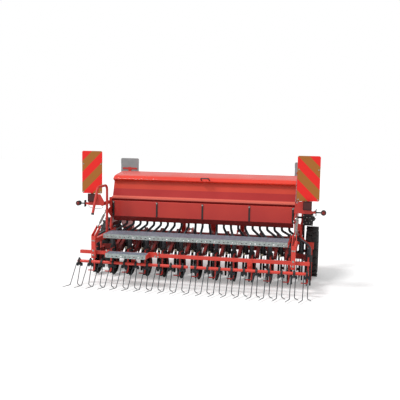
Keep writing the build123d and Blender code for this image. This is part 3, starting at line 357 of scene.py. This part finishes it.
def lathePart(centre, axis, profile, sides=16, caps=True):
    # Each (reach along the axis, radius) of the profile is a circle about the axis.
    axis = unit(axis)
    spare = np.array([0.0, 0.0, 1.0]) if abs(axis[2]) < 0.9 else np.array([1.0, 0.0, 0.0])
    first = unit(np.cross(spare, axis))
    second = np.cross(axis, first)
    turn = np.linspace(0, 2 * np.pi, sides, endpoint=False)
    ring = np.outer(np.cos(turn), first) + np.outer(np.sin(turn), second)
    reach, radius = np.array(profile, float).T
    middles = np.asarray(centre) + reach[:, None, None] * axis
    return gridPart(middles + radius[:, None, None] * ring, caps=caps)


def barrel(length, radius, edge=0.001):
    # Profile of a turned barrel, its radius drawn in at both rims by the width of a broken edge.
    return [(0.0, radius - edge), (edge, radius), (length - edge, radius), (length, radius - edge)]


def sweepPart(path, radius, sides=8, reference=(1.0, 0.0, 0.0)):
    # A circle across the path at each of its points, turned so that one of its diameters is square to
    # the reference direction; the path's direction is the difference of its neighbouring points.
    path = np.asarray(path, float)
    ahead = unit(np.gradient(path, axis=0))
    side = unit(np.cross(reference, ahead))
    up = np.cross(ahead, side)
    turn = np.linspace(0, 2 * np.pi, sides, endpoint=False)
    radius = np.broadcast_to(radius, len(path))[:, None, None]
    around = np.cos(turn)[None, :, None] * side[:, None] + np.sin(turn)[None, :, None] * up[:, None]
    return gridPart(path[:, None] + radius * around)


def prismPart(outline, x0, x1):
    # An outline in the Y-Z plane, counter-clockwise as seen from +X, drawn out along X.
    outline = np.array(outline, float)
    rings = [np.column_stack([np.full(len(outline), x), outline]) for x in (x0, x1)]
    return gridPart(rings)


def repeatPart(part, places):
    # The same part set down at each place.
    points, quads, ends = part
    places = np.asarray(places, float).reshape(-1, 3)
    shift = np.arange(len(places)) * len(points)
    return ((places[:, None] + points).reshape(-1, 3), (quads + shift[:, None, None]).reshape(-1, 4),
            [end + step for end in ends for step in shift])


def makePiece(name, parts, material, body, sharpDegrees=34.0):
    # All parts in one mesh, smooth but for edges that turn by more than sharpDegrees, on the body it rides.
    points, faces, count = [], [], 0
    for partPoints, quads, ends in parts:
        points.append(partPoints)
        faces += (quads + count).tolist() + [(end + count).tolist() for end in ends]
        count += len(partPoints)
    mesh = bpy.data.meshes.new(name)
    mesh.from_pydata(np.concatenate(points), [], faces)
    mesh.shade_smooth()
    mesh.set_sharp_from_angle(angle=math.radians(sharpDegrees))
    mesh.materials.append(material)
    piece = bpy.data.objects.new(name, mesh)
    scene.collection.objects.link(piece)
    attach(piece, body)
    return piece


def roundedLine(corners, radii, steps=6):
    # Straight runs joined by parabolas that leave and meet them a tangent's length from each corner.
    corners = np.array(corners, float)
    line = [corners[:1]]
    for before, corner, after, radius in zip(corners, corners[1:], corners[2:], radii):
        back, on = unit(before - corner), unit(after - corner)
        half = math.acos(np.clip(back @ on, -1, 1)) / 2
        reach = radius / math.tan(half)
        s = np.linspace(0, 1, steps + 1)[:, None]
        line.append((1 - s) ** 2 * (corner + back * reach) + 2 * s * (1 - s) * corner
                    + s ** 2 * (corner + on * reach))
    return np.concatenate(line + [corners[-1:]])


def helixLine(start, end, radius, turns, steps):
    # A circle carried from start to end at an even pitch.
    axis = unit(np.subtract(end, start))
    first = unit(np.cross((1.0, 0.0, 0.0) if abs(axis[0]) < 0.9 else (0.0, 0.0, 1.0), axis))
    second = np.cross(axis, first)
    s = np.linspace(0, 1, int(turns * steps) + 1)[:, None]
    turn = 2 * np.pi * turns * s
    around = np.cos(turn) * first + np.sin(turn) * second
    return np.add(start, np.subtract(end, start) * s) + radius * around


def boxOf(node):
    # A node's lowest and highest corners.
    low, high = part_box(node)
    return np.array(low), np.array(high)


def pointsOf(node):
    # All points of a node's mesh, one to a row.
    mesh = nodes[node].data
    points = np.empty(len(mesh.vertices) * 3)
    mesh.vertices.foreach_get("co", points)
    return points.reshape(-1, 3)


def bothSides(places):
    # Places on the right, then the same ones mirrored to the left.
    places = np.asarray(places, float)
    return np.concatenate([places, places * (-1, 1, 1)])


def gridPlaces(xs, ys, zs):
    # Every combination of the given coordinates.
    return np.array(np.meshgrid(xs, ys, zs, indexing="ij")).reshape(3, -1).T


def circlePlaces(count, radius, phase=0.0):
    # Even turns about a centre: radius times the cosine and the sine.
    turn = np.linspace(0, 2 * np.pi, count, endpoint=False) + phase
    return radius * np.cos(turn), radius * np.sin(turn)


# Hopper lid: one rounded sheet over the whole hopper; its section's corners are Y and Z
lidSet = {
    "corners": [(0.006, 1.296), (-0.018, 1.322), (0.040, 1.362), (0.120, 1.376), (0.370, 1.404),
                (0.520, 1.398), (0.690, 1.340), (0.712, 1.318), (0.712, 1.296)],
    "radii": [0.009, 0.055, 0.16, 0.22, 0.14, 0.03, 0.012], "endRound": 0.012, "sheet": 0.003}


def makeLid(corners, radii, endRound, sheet):
    # The rounded section runs from end to end; near each end it draws in along a quarter circle.
    low, high = boxOf("hopper_lid")
    section = roundedLine(corners, radii)
    tangent = unit(np.gradient(section, axis=0))
    inward = np.column_stack([tangent[:, 1], -tangent[:, 0]])
    quarter = np.linspace(0, np.pi / 2, 5)
    right = high[0] - endRound + endRound * np.cos(quarter)
    drawn = endRound * (1 - np.sin(quarter))
    xs = np.concatenate([right, [0.0], -right[::-1]])
    draw = np.concatenate([drawn, [0.0], drawn[::-1]])
    rings = section[None] + inward[None] * draw[:, None, None]
    rings[..., 1] = np.maximum(rings[..., 1], low[2])
    grid = np.concatenate([np.broadcast_to(xs[:, None, None], rings.shape[:2] + (1,)), rings], axis=-1)
    lid = makePiece("lidSheet", [gridPart(grid, closed=False)], matLid, "lid", 50.0)
    wall = lid.modifiers.new("wall", "SOLIDIFY")
    wall.thickness = sheet
    wall.offset = -1.0
    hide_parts("hopper_lid")


makeLid(**lidSet)

# Lid hinges: the leaf is a section from the hinge pin to the lid's skirt.
knuckleSet = {"places": (-0.900, 0.0, 0.900), "hinge": (0.728, 1.300), "length": 0.030, "radius": 0.009,
              "leaf": [(0.711, 1.297), (0.728, 1.291), (0.728, 1.309), (0.711, 1.312)], "leafHalf": 0.0148}


def makeKnuckles(places, hinge, length, radius, leaf, leafHalf):
    # At each place a barrel about the hinge's axis, and its leaf drawn out to both sides.
    lugs = []
    for x in places:
        lugs.append(lathePart((x - length / 2, *hinge), (1, 0, 0), barrel(length, radius), 20))
        lugs.append(prismPart(leaf, x - leafHalf, x + leafHalf))
    makePiece("lidKnuckles", lugs, matLid, "lid")


makeKnuckles(**knuckleSet)
print("lid made")


# Harrow tines: round wire, two turns of coil, leg, kink and tail. A leg is its side of the clamp,
# where its coil starts and ends to that side, its kink's Y and Z, its tail's run in X and Y, its tip's Z.
tineSet = {
    "first": 0.082, "pitch": 0.1523, "count": 10, "wire": 0.0052, "tip": 0.6, "coilRadius": 0.0190,
    "turns": 2.0, "coil": (-0.736, 0.250), "bend": 0.022,
    "legs": [(-1, 0.018, 0.036, (-0.960, 0.028), (-0.042, -0.1417, 0.030)),
             (1, 0.036, 0.0183, (-0.858, 0.022), (0.048, -0.045, 0.013))]}


def tinePath(x, leg, coil, coilRadius, turns, bend, coilSteps=18):
    # Helix about the coil's axis that ends where its tangent points at the kink, then the leg, a rounded
    # kink and the tail.
    hand, inner, leave, kink, tail = leg
    toKink = np.array(kink) - np.array(coil)
    last = math.atan2(toKink[1], toKink[0]) - math.acos(coilRadius / np.linalg.norm(toKink))
    turn = last - 2 * np.pi * turns * np.linspace(1, 0, int(turns * coilSteps) + 1)
    reach = np.linspace(inner, leave, len(turn)) * hand + x
    helix = np.column_stack([reach, coil[0] + coilRadius * np.cos(turn), coil[1] + coilRadius * np.sin(turn)])
    corner = np.array([x + hand * leave, *kink])
    tip = np.array([corner[0] + tail[0], kink[0] + tail[1], tail[2]])
    line = roundedLine([helix[-1], corner, tip], [bend], 7)
    shaft = helix[-1] + (line[1] - helix[-1]) * np.linspace(0.1, 0.9, 5)[:, None]
    return np.concatenate([helix, shaft, line[1:]])


def makeTines(first, pitch, count, wire, tip, coilRadius, turns, coil, bend, legs):
    # Clamps at an even pitch from the middle outwards, two legs to each, every leg a circle of the wire's
    # radius swept along its path and drawn in at the tip.
    for sign, side in ((-1, "left"), (1, "right")):
        parts = []
        for number in range(count):
            for leg in legs:
                path = tinePath(sign * (first + pitch * number), leg, coil, coilRadius, turns, bend)
                thick = np.full(len(path), wire)
                thick[-1] = wire * tip
                parts.append(sweepPart(path, thick, 8))
        tines = makePiece(f"tineWires_{side}", parts, matSpring, f"harrow_section_{side}",
                          50.0)
        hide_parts(f"harrow_tines_{side}")


makeTines(**tineSet)
print("tines made")


# Springs under the coulter arms and on the harrow's rods
def rodEnds(node, eye, apart):
    # Splits a node's points into rods that stand apart along X, and gives each rod's two sides and the
    # middles of its eyes: what lies within an eye's width of each end, measured along the rod.
    points = pointsOf(node)
    points = points[np.argsort(points[:, 0])]
    groups = np.split(points, np.nonzero(np.diff(points[:, 0]) > apart)[0] + 1)
    ends = []
    for group in groups:
        flat = group[:, 1:]
        lowest, highest = flat[flat[:, 1].argmin()], flat[flat[:, 1].argmax()]
        along = unit(highest - lowest)
        for _ in range(4):  # four rounds settle the direction
            reach = flat @ along
            start, stop = flat[reach < reach.min() + 2 * eye], flat[reach > reach.max() - 2 * eye]
            first = (start.min(0) + start.max(0)) / 2
            second = (stop.min(0) + stop.max(0)) / 2
            along = unit(second - first)
        ends.append((group[:, 0].min(), group[:, 0].max(), first, second))
    return ends


def springParts(x, first, second, rod, coilRadius, wire, turns, share, sides, seat=0.004):
    # A rod from eye to eye, a coil along the given share of it, and a round seat at each end of the coil.
    start, stop = np.array([x, *first]), np.array([x, *second])
    run = stop - start
    low, high = (start + run * part for part in share)
    rim = [(0, coilRadius + wire), (seat, coilRadius + wire)]
    seats = [lathePart(end - unit(run) * seat / 2, run, rim, 12) for end in (low, high)]
    coil = helixLine(low, high, coilRadius, turns, 12)
    return [sweepPart([start, stop], rod, 8), sweepPart(coil, wire, sides, run)] + seats


pressureSet = {
    "eye": 0.009, "eyeWidth": 0.016, "apart": 0.002,
    "spring": {"rod": 0.005, "coilRadius": 0.0093, "wire": 0.0021, "turns": 15, "share": (0.2, 0.8),
               "sides": 5}}


def makePressureSprings(eye, eyeWidth, apart, spring):
    # One spring under each coulter arm, with a barrel about the middle of each eye.
    parts = []
    for x0, x1, first, second in rodEnds("pressure_springs", eye, apart):
        x = (x0 + x1) / 2
        parts += springParts(x, first, second, **spring)
        parts += [lathePart((x - eyeWidth / 2, *centre), (1, 0, 0), barrel(eyeWidth, eye), 14)
                  for centre in (first, second)]
    piece = makePiece("pressureSpringCoils", parts, matBlackSpring, "root", 50.0)
    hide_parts("pressure_springs")


makePressureSprings(**pressureSet)

# Harrow rods: the lower eye lies about the rod's middle, the upper one reaches in to the side plate; a
# six-sided pin runs through each.
rodSet = {
    "eye": 0.019, "eyeHalf": 0.009, "apart": 0.1, "pin": 0.011, "pinInside": 0.004, "pinLonger": 0.010,
    "spring": {"rod": 0.0075, "coilRadius": 0.0130, "wire": 0.0029, "turns": 20, "share": (0.24, 0.72),
               "sides": 7}}


def makeHarrowRods(eye, eyeHalf, apart, pin, pinInside, pinLonger, spring):
    # Each eye is a barrel from its inner side out to the rod's outer side, with its pin along it.
    parts = []
    for x0, x1, first, second in rodEnds("harrow_pressure_rods", eye, apart):
        sign = math.copysign(1.0, x1)
        inner, outer = (x0, x1) if x1 > 0 else (x1, x0)
        x = outer - sign * eyeHalf
        parts += springParts(x, first, second, **spring)
        for centre, near in ((first, x - sign * eyeHalf), (second, inner)):
            width = abs(outer - near)
            parts.append(lathePart((near, *centre), (sign, 0, 0), barrel(width, eye), 24))
            parts.append(lathePart((near - sign * pinInside, *centre), (sign, 0, 0),
                                   [(0, pin), (width + pinLonger, pin)], 6))
    piece = makePiece("harrowRodSprings", parts, matZinc, "harrow", 50.0)
    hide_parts("harrow_pressure_rods")


makeHarrowRods(**rodSet)
print("springs made")


# Bolts: hexagon head with a rounded top on a washer
def boltPart(across, direction):
    # All in widths across the head: its top stands 0.68 up, and the washer is 1.72 wide and 0.1 thick.
    head = [(across * 0.10, across * 0.56), (across * 0.60, across * 0.56), (across * 0.68, across * 0.46)]
    washer = [(0.0, across * 0.86), (across * 0.10, across * 0.86)]
    return [lathePart((0, 0, 0), direction, head, 6), lathePart((0, 0, 0), direction, washer, 12)]


def bolts(name, groups, body):
    # Each group is a width across, a direction that the heads point in and the places of their washers.
    parts = []
    for across, direction, places in groups:
        parts += [repeatPart(part, places) for part in boltPart(across, direction)]
    return makePiece(name, parts, matZinc, body)


rearward = (0, -1, 0)
boardBoltSet = {"across": 0.010, "middle": 0.141, "aside": 0.121, "rows": (0.020, 0.392),
                "boards": [("boardBolts", "warning_boards_rear", -1),
                           ("frontBoardBolts", "warning_boards_front", 1)]}


def makeBoardBolts(across, middle, aside, rows, boards):
    # On each board's striped face, two columns at an equal reach from its middle and two rows above its foot.
    for name, node, side in boards:
        low, high = boxOf(node)
        x = high[0] - middle
        face = low[1] if side < 0 else high[1]
        places = gridPlaces([x - aside, x + aside], [face], low[2] + np.array(rows))
        bolts(name, [(across, (0, side, 0), bothSides(places))], "root")


makeBoardBolts(**boardBoltSet)
strapBoltSet = {"across": 0.013, "strapHalf": 0.011, "middles": (-0.610, 0.022, 0.654), "drop": 0.014}


def makeStrapBolts(across, strapHalf, middles, drop):
    # One bolt below the top of each strap; the outer straps lie half their width in from the row's ends.
    low, high = boxOf("cover_straps")
    end = high[0] - strapHalf
    places = gridPlaces([-end, *middles, end], [low[1]], [high[2] - drop])
    bolts("strapBolts", [(across, rearward, places)], "cover")


makeStrapBolts(**strapBoltSet)
postBoltSet = {"middle": 0.027, "face": -0.701, "across": 0.016, "rows": (0.372, 0.430),
               "earAcross": 0.012, "earAside": 0.012, "earRow": 0.560}


def makePostBolts(middle, face, across, rows, earAcross, earAside, earRow):
    # Two bolts up the middle of each harrow post, and a pair below its ears.
    x = boxOf("harrow_arms")[1][0] - middle
    post = gridPlaces([x], [face], rows)
    ear = gridPlaces([x - earAside, x + earAside], [face], [earRow])
    bolts("postBolts", [(across, rearward, bothSides(post)), (earAcross, rearward, bothSides(ear))], "harrow")


makePostBolts(**postBoltSet)
stepBoltSet = {"across": 0.014, "face": -0.663, "right": [(-0.062, 0.390), (-0.022, 0.432), (-0.022, 0.390)],
               "left": [(0.018, 0.432), (0.018, 0.390)]}


def makeStepBolts(across, face, right, left):
    # Through the feet of the step's brackets: each bolt is a reach from that end and a height.
    low, high = boxOf("step_brackets")
    places = [(end + reach, face, z) for end, row in ((high[0], right), (low[0], left)) for reach, z in row]
    bolts("stepBolts", [(across, rearward, places)], "harrow")


makeStepBolts(**stepBoltSet)
sideBoltSet = {"across": 0.020, "inset": 0.060,
               "places": [(0.02, 1.045), (0.30, 1.045), (0.58, 1.045), (0.50, 0.94), (-0.05, 0.86),
                          (0.10, 0.76), (0.60, 0.76), (0.86, 0.52), (0.92, 0.52), (0.56, 0.56), (0.50, 0.50)]}


def makeSideBolts(across, inset, places):
    # The same bolts, at Y and Z, on the outer face of the right side plate and mirrored on the left.
    face = boxOf("side_plates")[1][0] - inset
    right = np.array([(face, y, z) for y, z in places])
    bolts("sideBolts", [(across, (1, 0, 0), right), (across, (-1, 0, 0), right * (-1, 1, 1))], "root")


makeSideBolts(**sideBoltSet)
nutSet = {"count": 5, "circle": 0.082, "phase": 0.3, "across": 0.024, "outwards": 0.038}


def makeWheelNuts(count, circle, phase, across, outwards):
    # Nuts at even turns on a circle about the axle, on each wheel disc's outer face.
    low, high = boxOf("rim_right")
    x, y, z = (low + high) / 2
    ys, zs = circlePlaces(count, circle, phase)
    ring = np.column_stack([np.full(count, x + outwards), y + ys, z + zs])
    for sign, side in ((1, "right"), (-1, "left")):
        bolts(f"wheelNuts_{side}", [(across, (sign, 0, 0), ring * (sign, 1, 1))], f"wheel_{side}")


makeWheelNuts(**nutSet)
print("bolts made")


# Lamps: turned lenses as (reach, radius), and a frame's section as (inset from its outline, depth)
lampSet = {
    "width": 0.106, "aside": 0.24, "back": 0.0045,
    "lens": [(0.0, 0.0215), (0.002, 0.0215), (0.0035, 0.017), (0.0042, 0.010), (0.0044, 0.003)],
    "bezel": [(-0.002, 0.0235), (0.0030, 0.0235), (0.0030, 0.0215), (0.0, 0.0215)],
    "section": [(0.0, 0.012), (0.0, 0.002), (0.002, 0.0), (0.006, 0.0), (0.007, 0.001), (0.007, 0.004),
                (0.021, 0.005)]}


def framePart(x0, x1, face, z0, z1, section):
    # For each step of the section, a rectangle drawn in by the inset and set back from the face by the depth.
    inset, depth = np.array(section, float).T[:, :, None]
    xs = np.concatenate([x0 + inset, x1 - inset, x1 - inset, x0 + inset], axis=1)
    zs = np.concatenate([z0 + inset, z0 + inset, z1 - inset, z1 - inset], axis=1)
    ys = np.broadcast_to(face + depth, xs.shape)
    return gridPart(np.stack([xs, ys, zs], axis=-1)[:, ::-1], caps=False)


def makeLamps(width, aside, back, lens, bezel, section):
    # Each lamp has a frame and two lenses a share of its width from its middle, the amber one outside.
    low, high = boxOf("rear_lamps")
    x = high[0] - width / 2
    z = (low[2] + high[2]) / 2
    red, amber, housing = [], [], []
    for sign in (-1, 1):
        left, right = sign * x - width / 2, sign * x + width / 2
        housing.append(framePart(left, right, low[1], low[2], high[2], section))
        for side, group in ((-1, red), (1, amber)):
            centre = (sign * x + side * sign * width * aside, low[1] + back, z)
            group.append(lathePart(centre, rearward, lens, 24))
            housing.append(lathePart(centre, rearward, bezel, 24))
    makePiece("lampLensesRed", red, matLamp, "root", 60.0)
    makePiece("lampLensesAmber", amber, matAmberLens, "root", 60.0)
    makePiece("lampFrames", housing, matBlackPlastic, "root")


makeLamps(**lampSet)
markerSet = {"inset": 0.033, "rearFace": -0.377, "frontFace": -0.325,
             "lens": [(-0.002, 0.021), (0.001, 0.021), (0.005, 0.0168), (0.0068, 0.0084), (0.0072, 0.002)]}


def makeMarkers(inset, rearFace, frontFace, lens):
    # A red lens to the rear and a clear one to the front, about the middle of each marker lamp.
    low, high = boxOf("marker_lamps")
    x = high[0] - inset
    z = (low[2] + high[2]) / 2
    for name, y, side, material, slot in (("markerLenses", rearFace, -1, matLamp, "lamp_red"),
                                          ("markerLensesFront", frontFace, 1, matWhiteLens, None)):
        lenses = [lathePart((sign * x, y, z), (0, side, 0), lens, 24) for sign in (-1, 1)]
        makePiece(name, lenses, material, "root", 60.0)


makeMarkers(**markerSet)
print("lamps made")


# Tread studs: pressed rings in rows along the walkway and the step
studSet = {"along": 0.040, "across": 0.026, "margin": 0.020,
           "ring": [(-0.0002, 0.0085), (0.0022, 0.00612), (0.0022, 0.0042), (0.0002, 0.00378)]}


def makeStuds(along, across, margin, ring):
    # A centred grid on each tread, its rows shifted by a quarter pitch one way and the other in turn.
    for node, body in (("walkway", "root"), ("harrow_step", "harrow")):
        low, high = boxOf(node)
        room = high - low - 2 * margin
        columns, rows = int(room[0] / along) + 1, int(room[1] / across) + 1
        xs = (low[0] + high[0]) / 2 + (np.arange(columns) - (columns - 1) / 2) * along
        ys = (low[1] + high[1]) / 2 + (np.arange(rows) - (rows - 1) / 2) * across
        places = gridPlaces(xs, ys, [high[2]])
        places[:, 0] += np.where(np.arange(len(places)) % rows % 2, along / 4, -along / 4)
        stud = lathePart((0, 0, 0), (0, 0, 1), ring, 8)
        makePiece(f"{node}Studs", [repeatPart(stud, places)], matGalvanised, body)


makeStuds(**studSet)
print("studs made")


# Seed tubes: ribbed hose from each outlet to the wide sleeve in its coulter's funnel
hoseSet = {"rows": 25, "rowPitch": 0.120, "outletPitch": 0.098, "outletY": 0.080, "coulterY": (-0.106, 0.174),
           "top": 0.7307, "knee": 0.044, "elbow": 0.534, "bends": (0.040, 0.060), "overlap": 0.010,
           "sleeve": (0.3523, 0.500), "sleeveRadius": 0.027, "neck": [(0.022, 0.0187), (0.024, 0.0142)],
           "aside": 0.012, "inboard": 1.150, "radius": 0.0162, "rib": 0.0013, "ribPitch": 0.016}


def makeHoses(rows, rowPitch, outletPitch, outletY, coulterY, top, knee, elbow, bends, overlap, sleeve,
              sleeveRadius, neck, aside, inboard, radius, rib, ribPitch):
    # A circle carried down two bends, its radius rising and falling as a sine of the length along the hose,
    # and a turned sleeve with a tapered neck at its foot. Every second row feeds a front coulter.
    foot, head = sleeve
    length = head - foot
    profile = barrel(length, sleeveRadius) + [(length + reach, size) for reach, size in neck]
    parts = ([], [])
    for number in range(rows):
        place = number - (rows - 1) / 2
        start = place * outletPitch
        x = place * rowPitch
        x += aside if x > inboard else -aside
        y = coulterY[number % 2]
        way = roundedLine([(start, outletY, top), (start, outletY, top - knee), (x, y, elbow),
                           (x, y, head + overlap)], bends, 4)
        along = np.concatenate([[0.0], np.cumsum(np.linalg.norm(np.diff(way, axis=0), axis=1))])
        even = np.linspace(0, along[-1], int(along[-1] / ribPitch * 4) + 1)
        path = np.column_stack([np.interp(even, along, way[:, axis]) for axis in range(3)])
        parts[number % 2].append(sweepPart(path, radius + rib * np.sin(2 * np.pi * even / ribPitch), 10))
        parts[number % 2].append(lathePart((x, y, foot), (0, 0, 1), profile, 20))
    for name, group in zip(("rear", "front"), parts):
        hose = makePiece(f"seedHoses_{name}", group, matTubeSheen, "root")
        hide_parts(f"seed_tubes_{name}")


makeHoses(**hoseSet)
print("hoses made")


# Cheeks under the coulter arms, which make each arm an open channel over its spring. An arm of the rear
# or front coulters is its head's Y and Z and its pivot's Z.
cheekSet = {"rows": 25, "pitch": 0.120, "last": 1.25, "inboard": 1.15, "aside": 0.044, "half": 0.0198,
            "steel": 0.003, "under": 0.021, "depth": 0.066, "fromHead": (0.030, 0.085),
            "fromPivot": (0.070, 0.020), "pivotY": 0.494, "rear": (-0.038, 0.334, 0.562),
            "front": (0.242, 0.314, 0.438)}


def makeCheeks(rows, pitch, last, inboard, aside, half, steel, under, depth, fromHead, fromPivot, pivotY,
               rear, front):
    # Under each arm's straight underside, two thin plates whose lower edge runs parallel to it.
    parts = []
    for number in range(rows):
        x = (number - (rows - 1) / 2) * pitch
        if abs(x) > last:
            continue
        headY, headZ, pivotZ = front if number % 2 else rear
        slope = (pivotZ - headZ) / (pivotY - headY)
        ys = np.concatenate([headY + np.array(fromHead), pivotY - np.array(fromPivot)])
        zs = headZ + slope * (ys - headY) - under - np.array([0.0, depth, depth, 0.0])
        for side in (-1, 1):
            face = x + aside * (-1 if x > inboard else 1) + side * half
            back = face - side * steel
            parts.append(prismPart(np.column_stack([ys, zs]), min(face, back), max(face, back)))
    # the cheeks take the arms' coat, darkened as painted shade
    makePiece("armCheeks", parts, matArmShaded, "root")


makeCheeks(**cheekSet)
print("cheeks made")


# Small controls on the coulters and the drive
knobSet = {"aside": -0.012, "behind": 0.006, "drop": 0.076, "rim": 0.002, "apart": 0.05,
           "turned": [(-0.018, 0.00855), (0.0, 0.00855), (0.0, 0.01634), (0.003, 0.019), (0.016, 0.01786),
                      (0.020, 0.01368)]}


def makeKnobs(aside, behind, drop, rim, apart, turned):
    # A cream knob on a stem behind each front coulter's funnel, found by the gaps between rims along X.
    points = pointsOf("coulter_boots_front")
    height = points[:, 2].max()
    rims = points[points[:, 2] > height - rim]
    order = np.sort(rims[:, 0])
    groups = np.split(order, np.nonzero(np.diff(order) > apart)[0] + 1)
    xs = np.array([(group.min() + group.max()) / 2 for group in groups]) + aside
    places = gridPlaces(xs, [rims[:, 1].min() - behind], [height - drop])
    knobs = repeatPart(lathePart((0, 0, 0), rearward, turned, 14), places)
    makePiece("coulterKnobs", [knobs], matCreamLit, "root")


makeKnobs(**knobSet)

# Drive: each turned part is its place, its axis, its profile and its sides; a rib is a section in Y and Z.
driveSet = {
    "turned": [((1.412, 0.404, 0.800), (0, -1, 0),
                [(-0.001, 0.040), (0.003, 0.038), (0.005, 0.020), (0.012, 0.017), (0.014, 0.010)], 24),
               ((1.492, 0.500, 0.812), (1, 0, 0),
                [(-0.001, 0.028), (0.004, 0.026), (0.006, 0.012), (0.016, 0.010), (0.018, 0.006)], 24),
               ((1.380, 0.520, 0.882), (0, 0, 1),
                [(0.0, 0.020), (0.008, 0.020), (0.010, 0.015), (0.020, 0.015), (0.023, 0.009)], 12),
               ((1.500, 0.410, 0.925), (0.4, -0.1, 0.4),
                [(-0.010, 0.006), (-0.006, 0.012), (0.0, 0.015), (0.008, 0.012), (0.013, 0.005)], 16)],
    "rib": [(0.432, -0.004), (0.4245, -0.004), (0.4245, 0.004), (0.432, 0.004), (0.440, 0.0)],
    "ribHeights": (0.734, 0.872), "ribEnds": (1.342, 1.466),
    "lever": [(1.452, 0.428, 0.872), (1.470, 0.418, 0.898), (1.500, 0.410, 0.925)], "leverRadius": 0.006}


def makeDriveParts(turned, rib, ribHeights, ribEnds, lever, leverRadius):
    # Covers, filler cap and lever's ball turned about their axes, ribs drawn out along X, the lever's rod
    # swept along its points.
    parts = [lathePart(*entry) for entry in turned]
    parts += [prismPart(np.array(rib) + (0.0, z), *ribEnds) for z in ribHeights]
    parts.append(sweepPart(lever, leverRadius, 10))
    makePiece("driveDetails", parts, matBlackCast, "root")


makeDriveParts(**driveSet)
driveBoltSet = {"centre": (1.412, 0.404, 0.800), "count": 6, "circle": 0.041, "across": 0.008,
                "cornerAcross": 0.010, "cornerX": (1.344, 1.464), "cornerY": 0.430, "cornerZ": (0.742, 0.864)}


def makeDriveBolts(centre, count, circle, across, cornerAcross, cornerX, cornerY, cornerZ):
    # A circle of bolts round the rear cover, and one bolt in each corner of the gearbox.
    xs, zs = circlePlaces(count, circle)
    ring = np.column_stack([centre[0] + xs, np.full(count, centre[1]), centre[2] + zs])
    corners = gridPlaces(cornerX, [cornerY], cornerZ)
    bolts("driveBolts", [(across, rearward, ring), (cornerAcross, rearward, corners)], "root")


makeDriveBolts(**driveBoltSet)
print("controls made")


# Tyre sidewalls: raised rings, each a radius and a height, that follow each wheel
tyreSet = {"rings": [(0.238, 0.0026), (0.262, 0.0016), (0.286, 0.0022)], "width": 0.0045, "flank": 0.0035,
           "root": 0.004, "shoulder": (0.7, 0.6)}


def makeSidewallRings(rings, width, flank, root, shoulder):
    # A low rounded ridge turned about the axle on both flanks of each tyre; a shoulder is its share of the
    # ridge's height and half width.
    up, out = shoulder
    for side in ("left", "right"):
        low, high = boxOf(f"tyre_{side}")
        centre = (low + high) / 2
        parts = []
        for radius, height in rings:
            ridge = [(-root, radius + width), (height * up, radius + width * out), (height, radius),
                     (height * up, radius - width * out), (-root, radius - width)]
            for sign, face in ((1, high[0]), (-1, low[0])):
                place = (face - sign * flank, centre[1], centre[2])
                parts.append(lathePart(place, (sign, 0, 0), ridge, 72, caps=False))
        makePiece(f"sidewallRings_{side}", parts, matTyre, f"wheel_{side}", 60.0)


makeSidewallRings(**tyreSet)
print("tyres dressed")


# Room: pale floor, soft lamps
floorSet = {"width": 60.0, "code": "e6e6e6", "shown": 0.27}
worldSet = {"strength": 0.60}
sunSet = {"strength": 2.1, "spread": 14.0, "toward": (-0.55, -0.42, 1.0)}


def makeFloor(width, code, shown):
    # A square on the ground; it glows by the given strength for the camera alone, and lights nothing.
    half = width / 2
    corners = [(-half, -half, 0), (half, -half, 0), (half, half, 0), (-half, half, 0)]
    mesh = bpy.data.meshes.new("floor")
    mesh.from_pydata(corners, [], [(0, 1, 2, 3)])
    floor = bpy.data.objects.new("floor", mesh)
    scene.collection.objects.link(floor)
    material = bpy.data.materials.new("pale studio floor")
    material.use_nodes = True
    tree = material.node_tree
    tree.nodes.clear()
    path = tree.nodes.new("ShaderNodeLightPath").outputs["Is Camera Ray"]
    glow = addNode(tree, "ShaderNodeMapRange", span(0.0, 1.0, 0.0, shown), {"Value": path})
    shader = addNode(tree, "ShaderNodeBsdfPrincipled",
                     {"Base Color": hexToLinear(code), "Roughness": 0.9, "Emission Color": (1, 1, 1, 1),
                      "Specular IOR Level": 0.0}, {"Emission Strength": glow.outputs["Result"]})
    addNode(tree, "ShaderNodeOutputMaterial", {}, {"Surface": shader.outputs[0]})
    mesh.materials.append(material)


def makeWorld(strength):
    # White to the camera, and a light of the given strength to everything else.
    world = bpy.data.worlds.new("studio")
    world.use_nodes = True
    tree = world.node_tree
    tree.nodes.clear()
    path = tree.nodes.new("ShaderNodeLightPath").outputs["Is Camera Ray"]
    level = addNode(tree, "ShaderNodeMapRange", span(0.0, 1.0, strength, 1.0), {"Value": path})
    sky = addNode(tree, "ShaderNodeBackground", {"Color": (1, 1, 1, 1)},
                  {"Strength": level.outputs["Result"]})
    addNode(tree, "ShaderNodeOutputWorld", {}, {"Surface": sky.outputs[0]})
    scene.world = world


def makeSun(strength, spread, toward):
    # A sun that shines from the given direction, as wide as the spread in degrees.
    data = bpy.data.lights.new("sun", "SUN")
    data.energy = strength
    data.angle = math.radians(spread)
    lamp = bpy.data.objects.new("sun", data)
    scene.collection.objects.link(lamp)
    lamp.matrix_world = Vector(toward).to_track_quat("Z", "Y").to_matrix().to_4x4()


makeFloor(**floorSet)
makeWorld(**worldSet)
makeSun(**sunSet)
print("room ready")
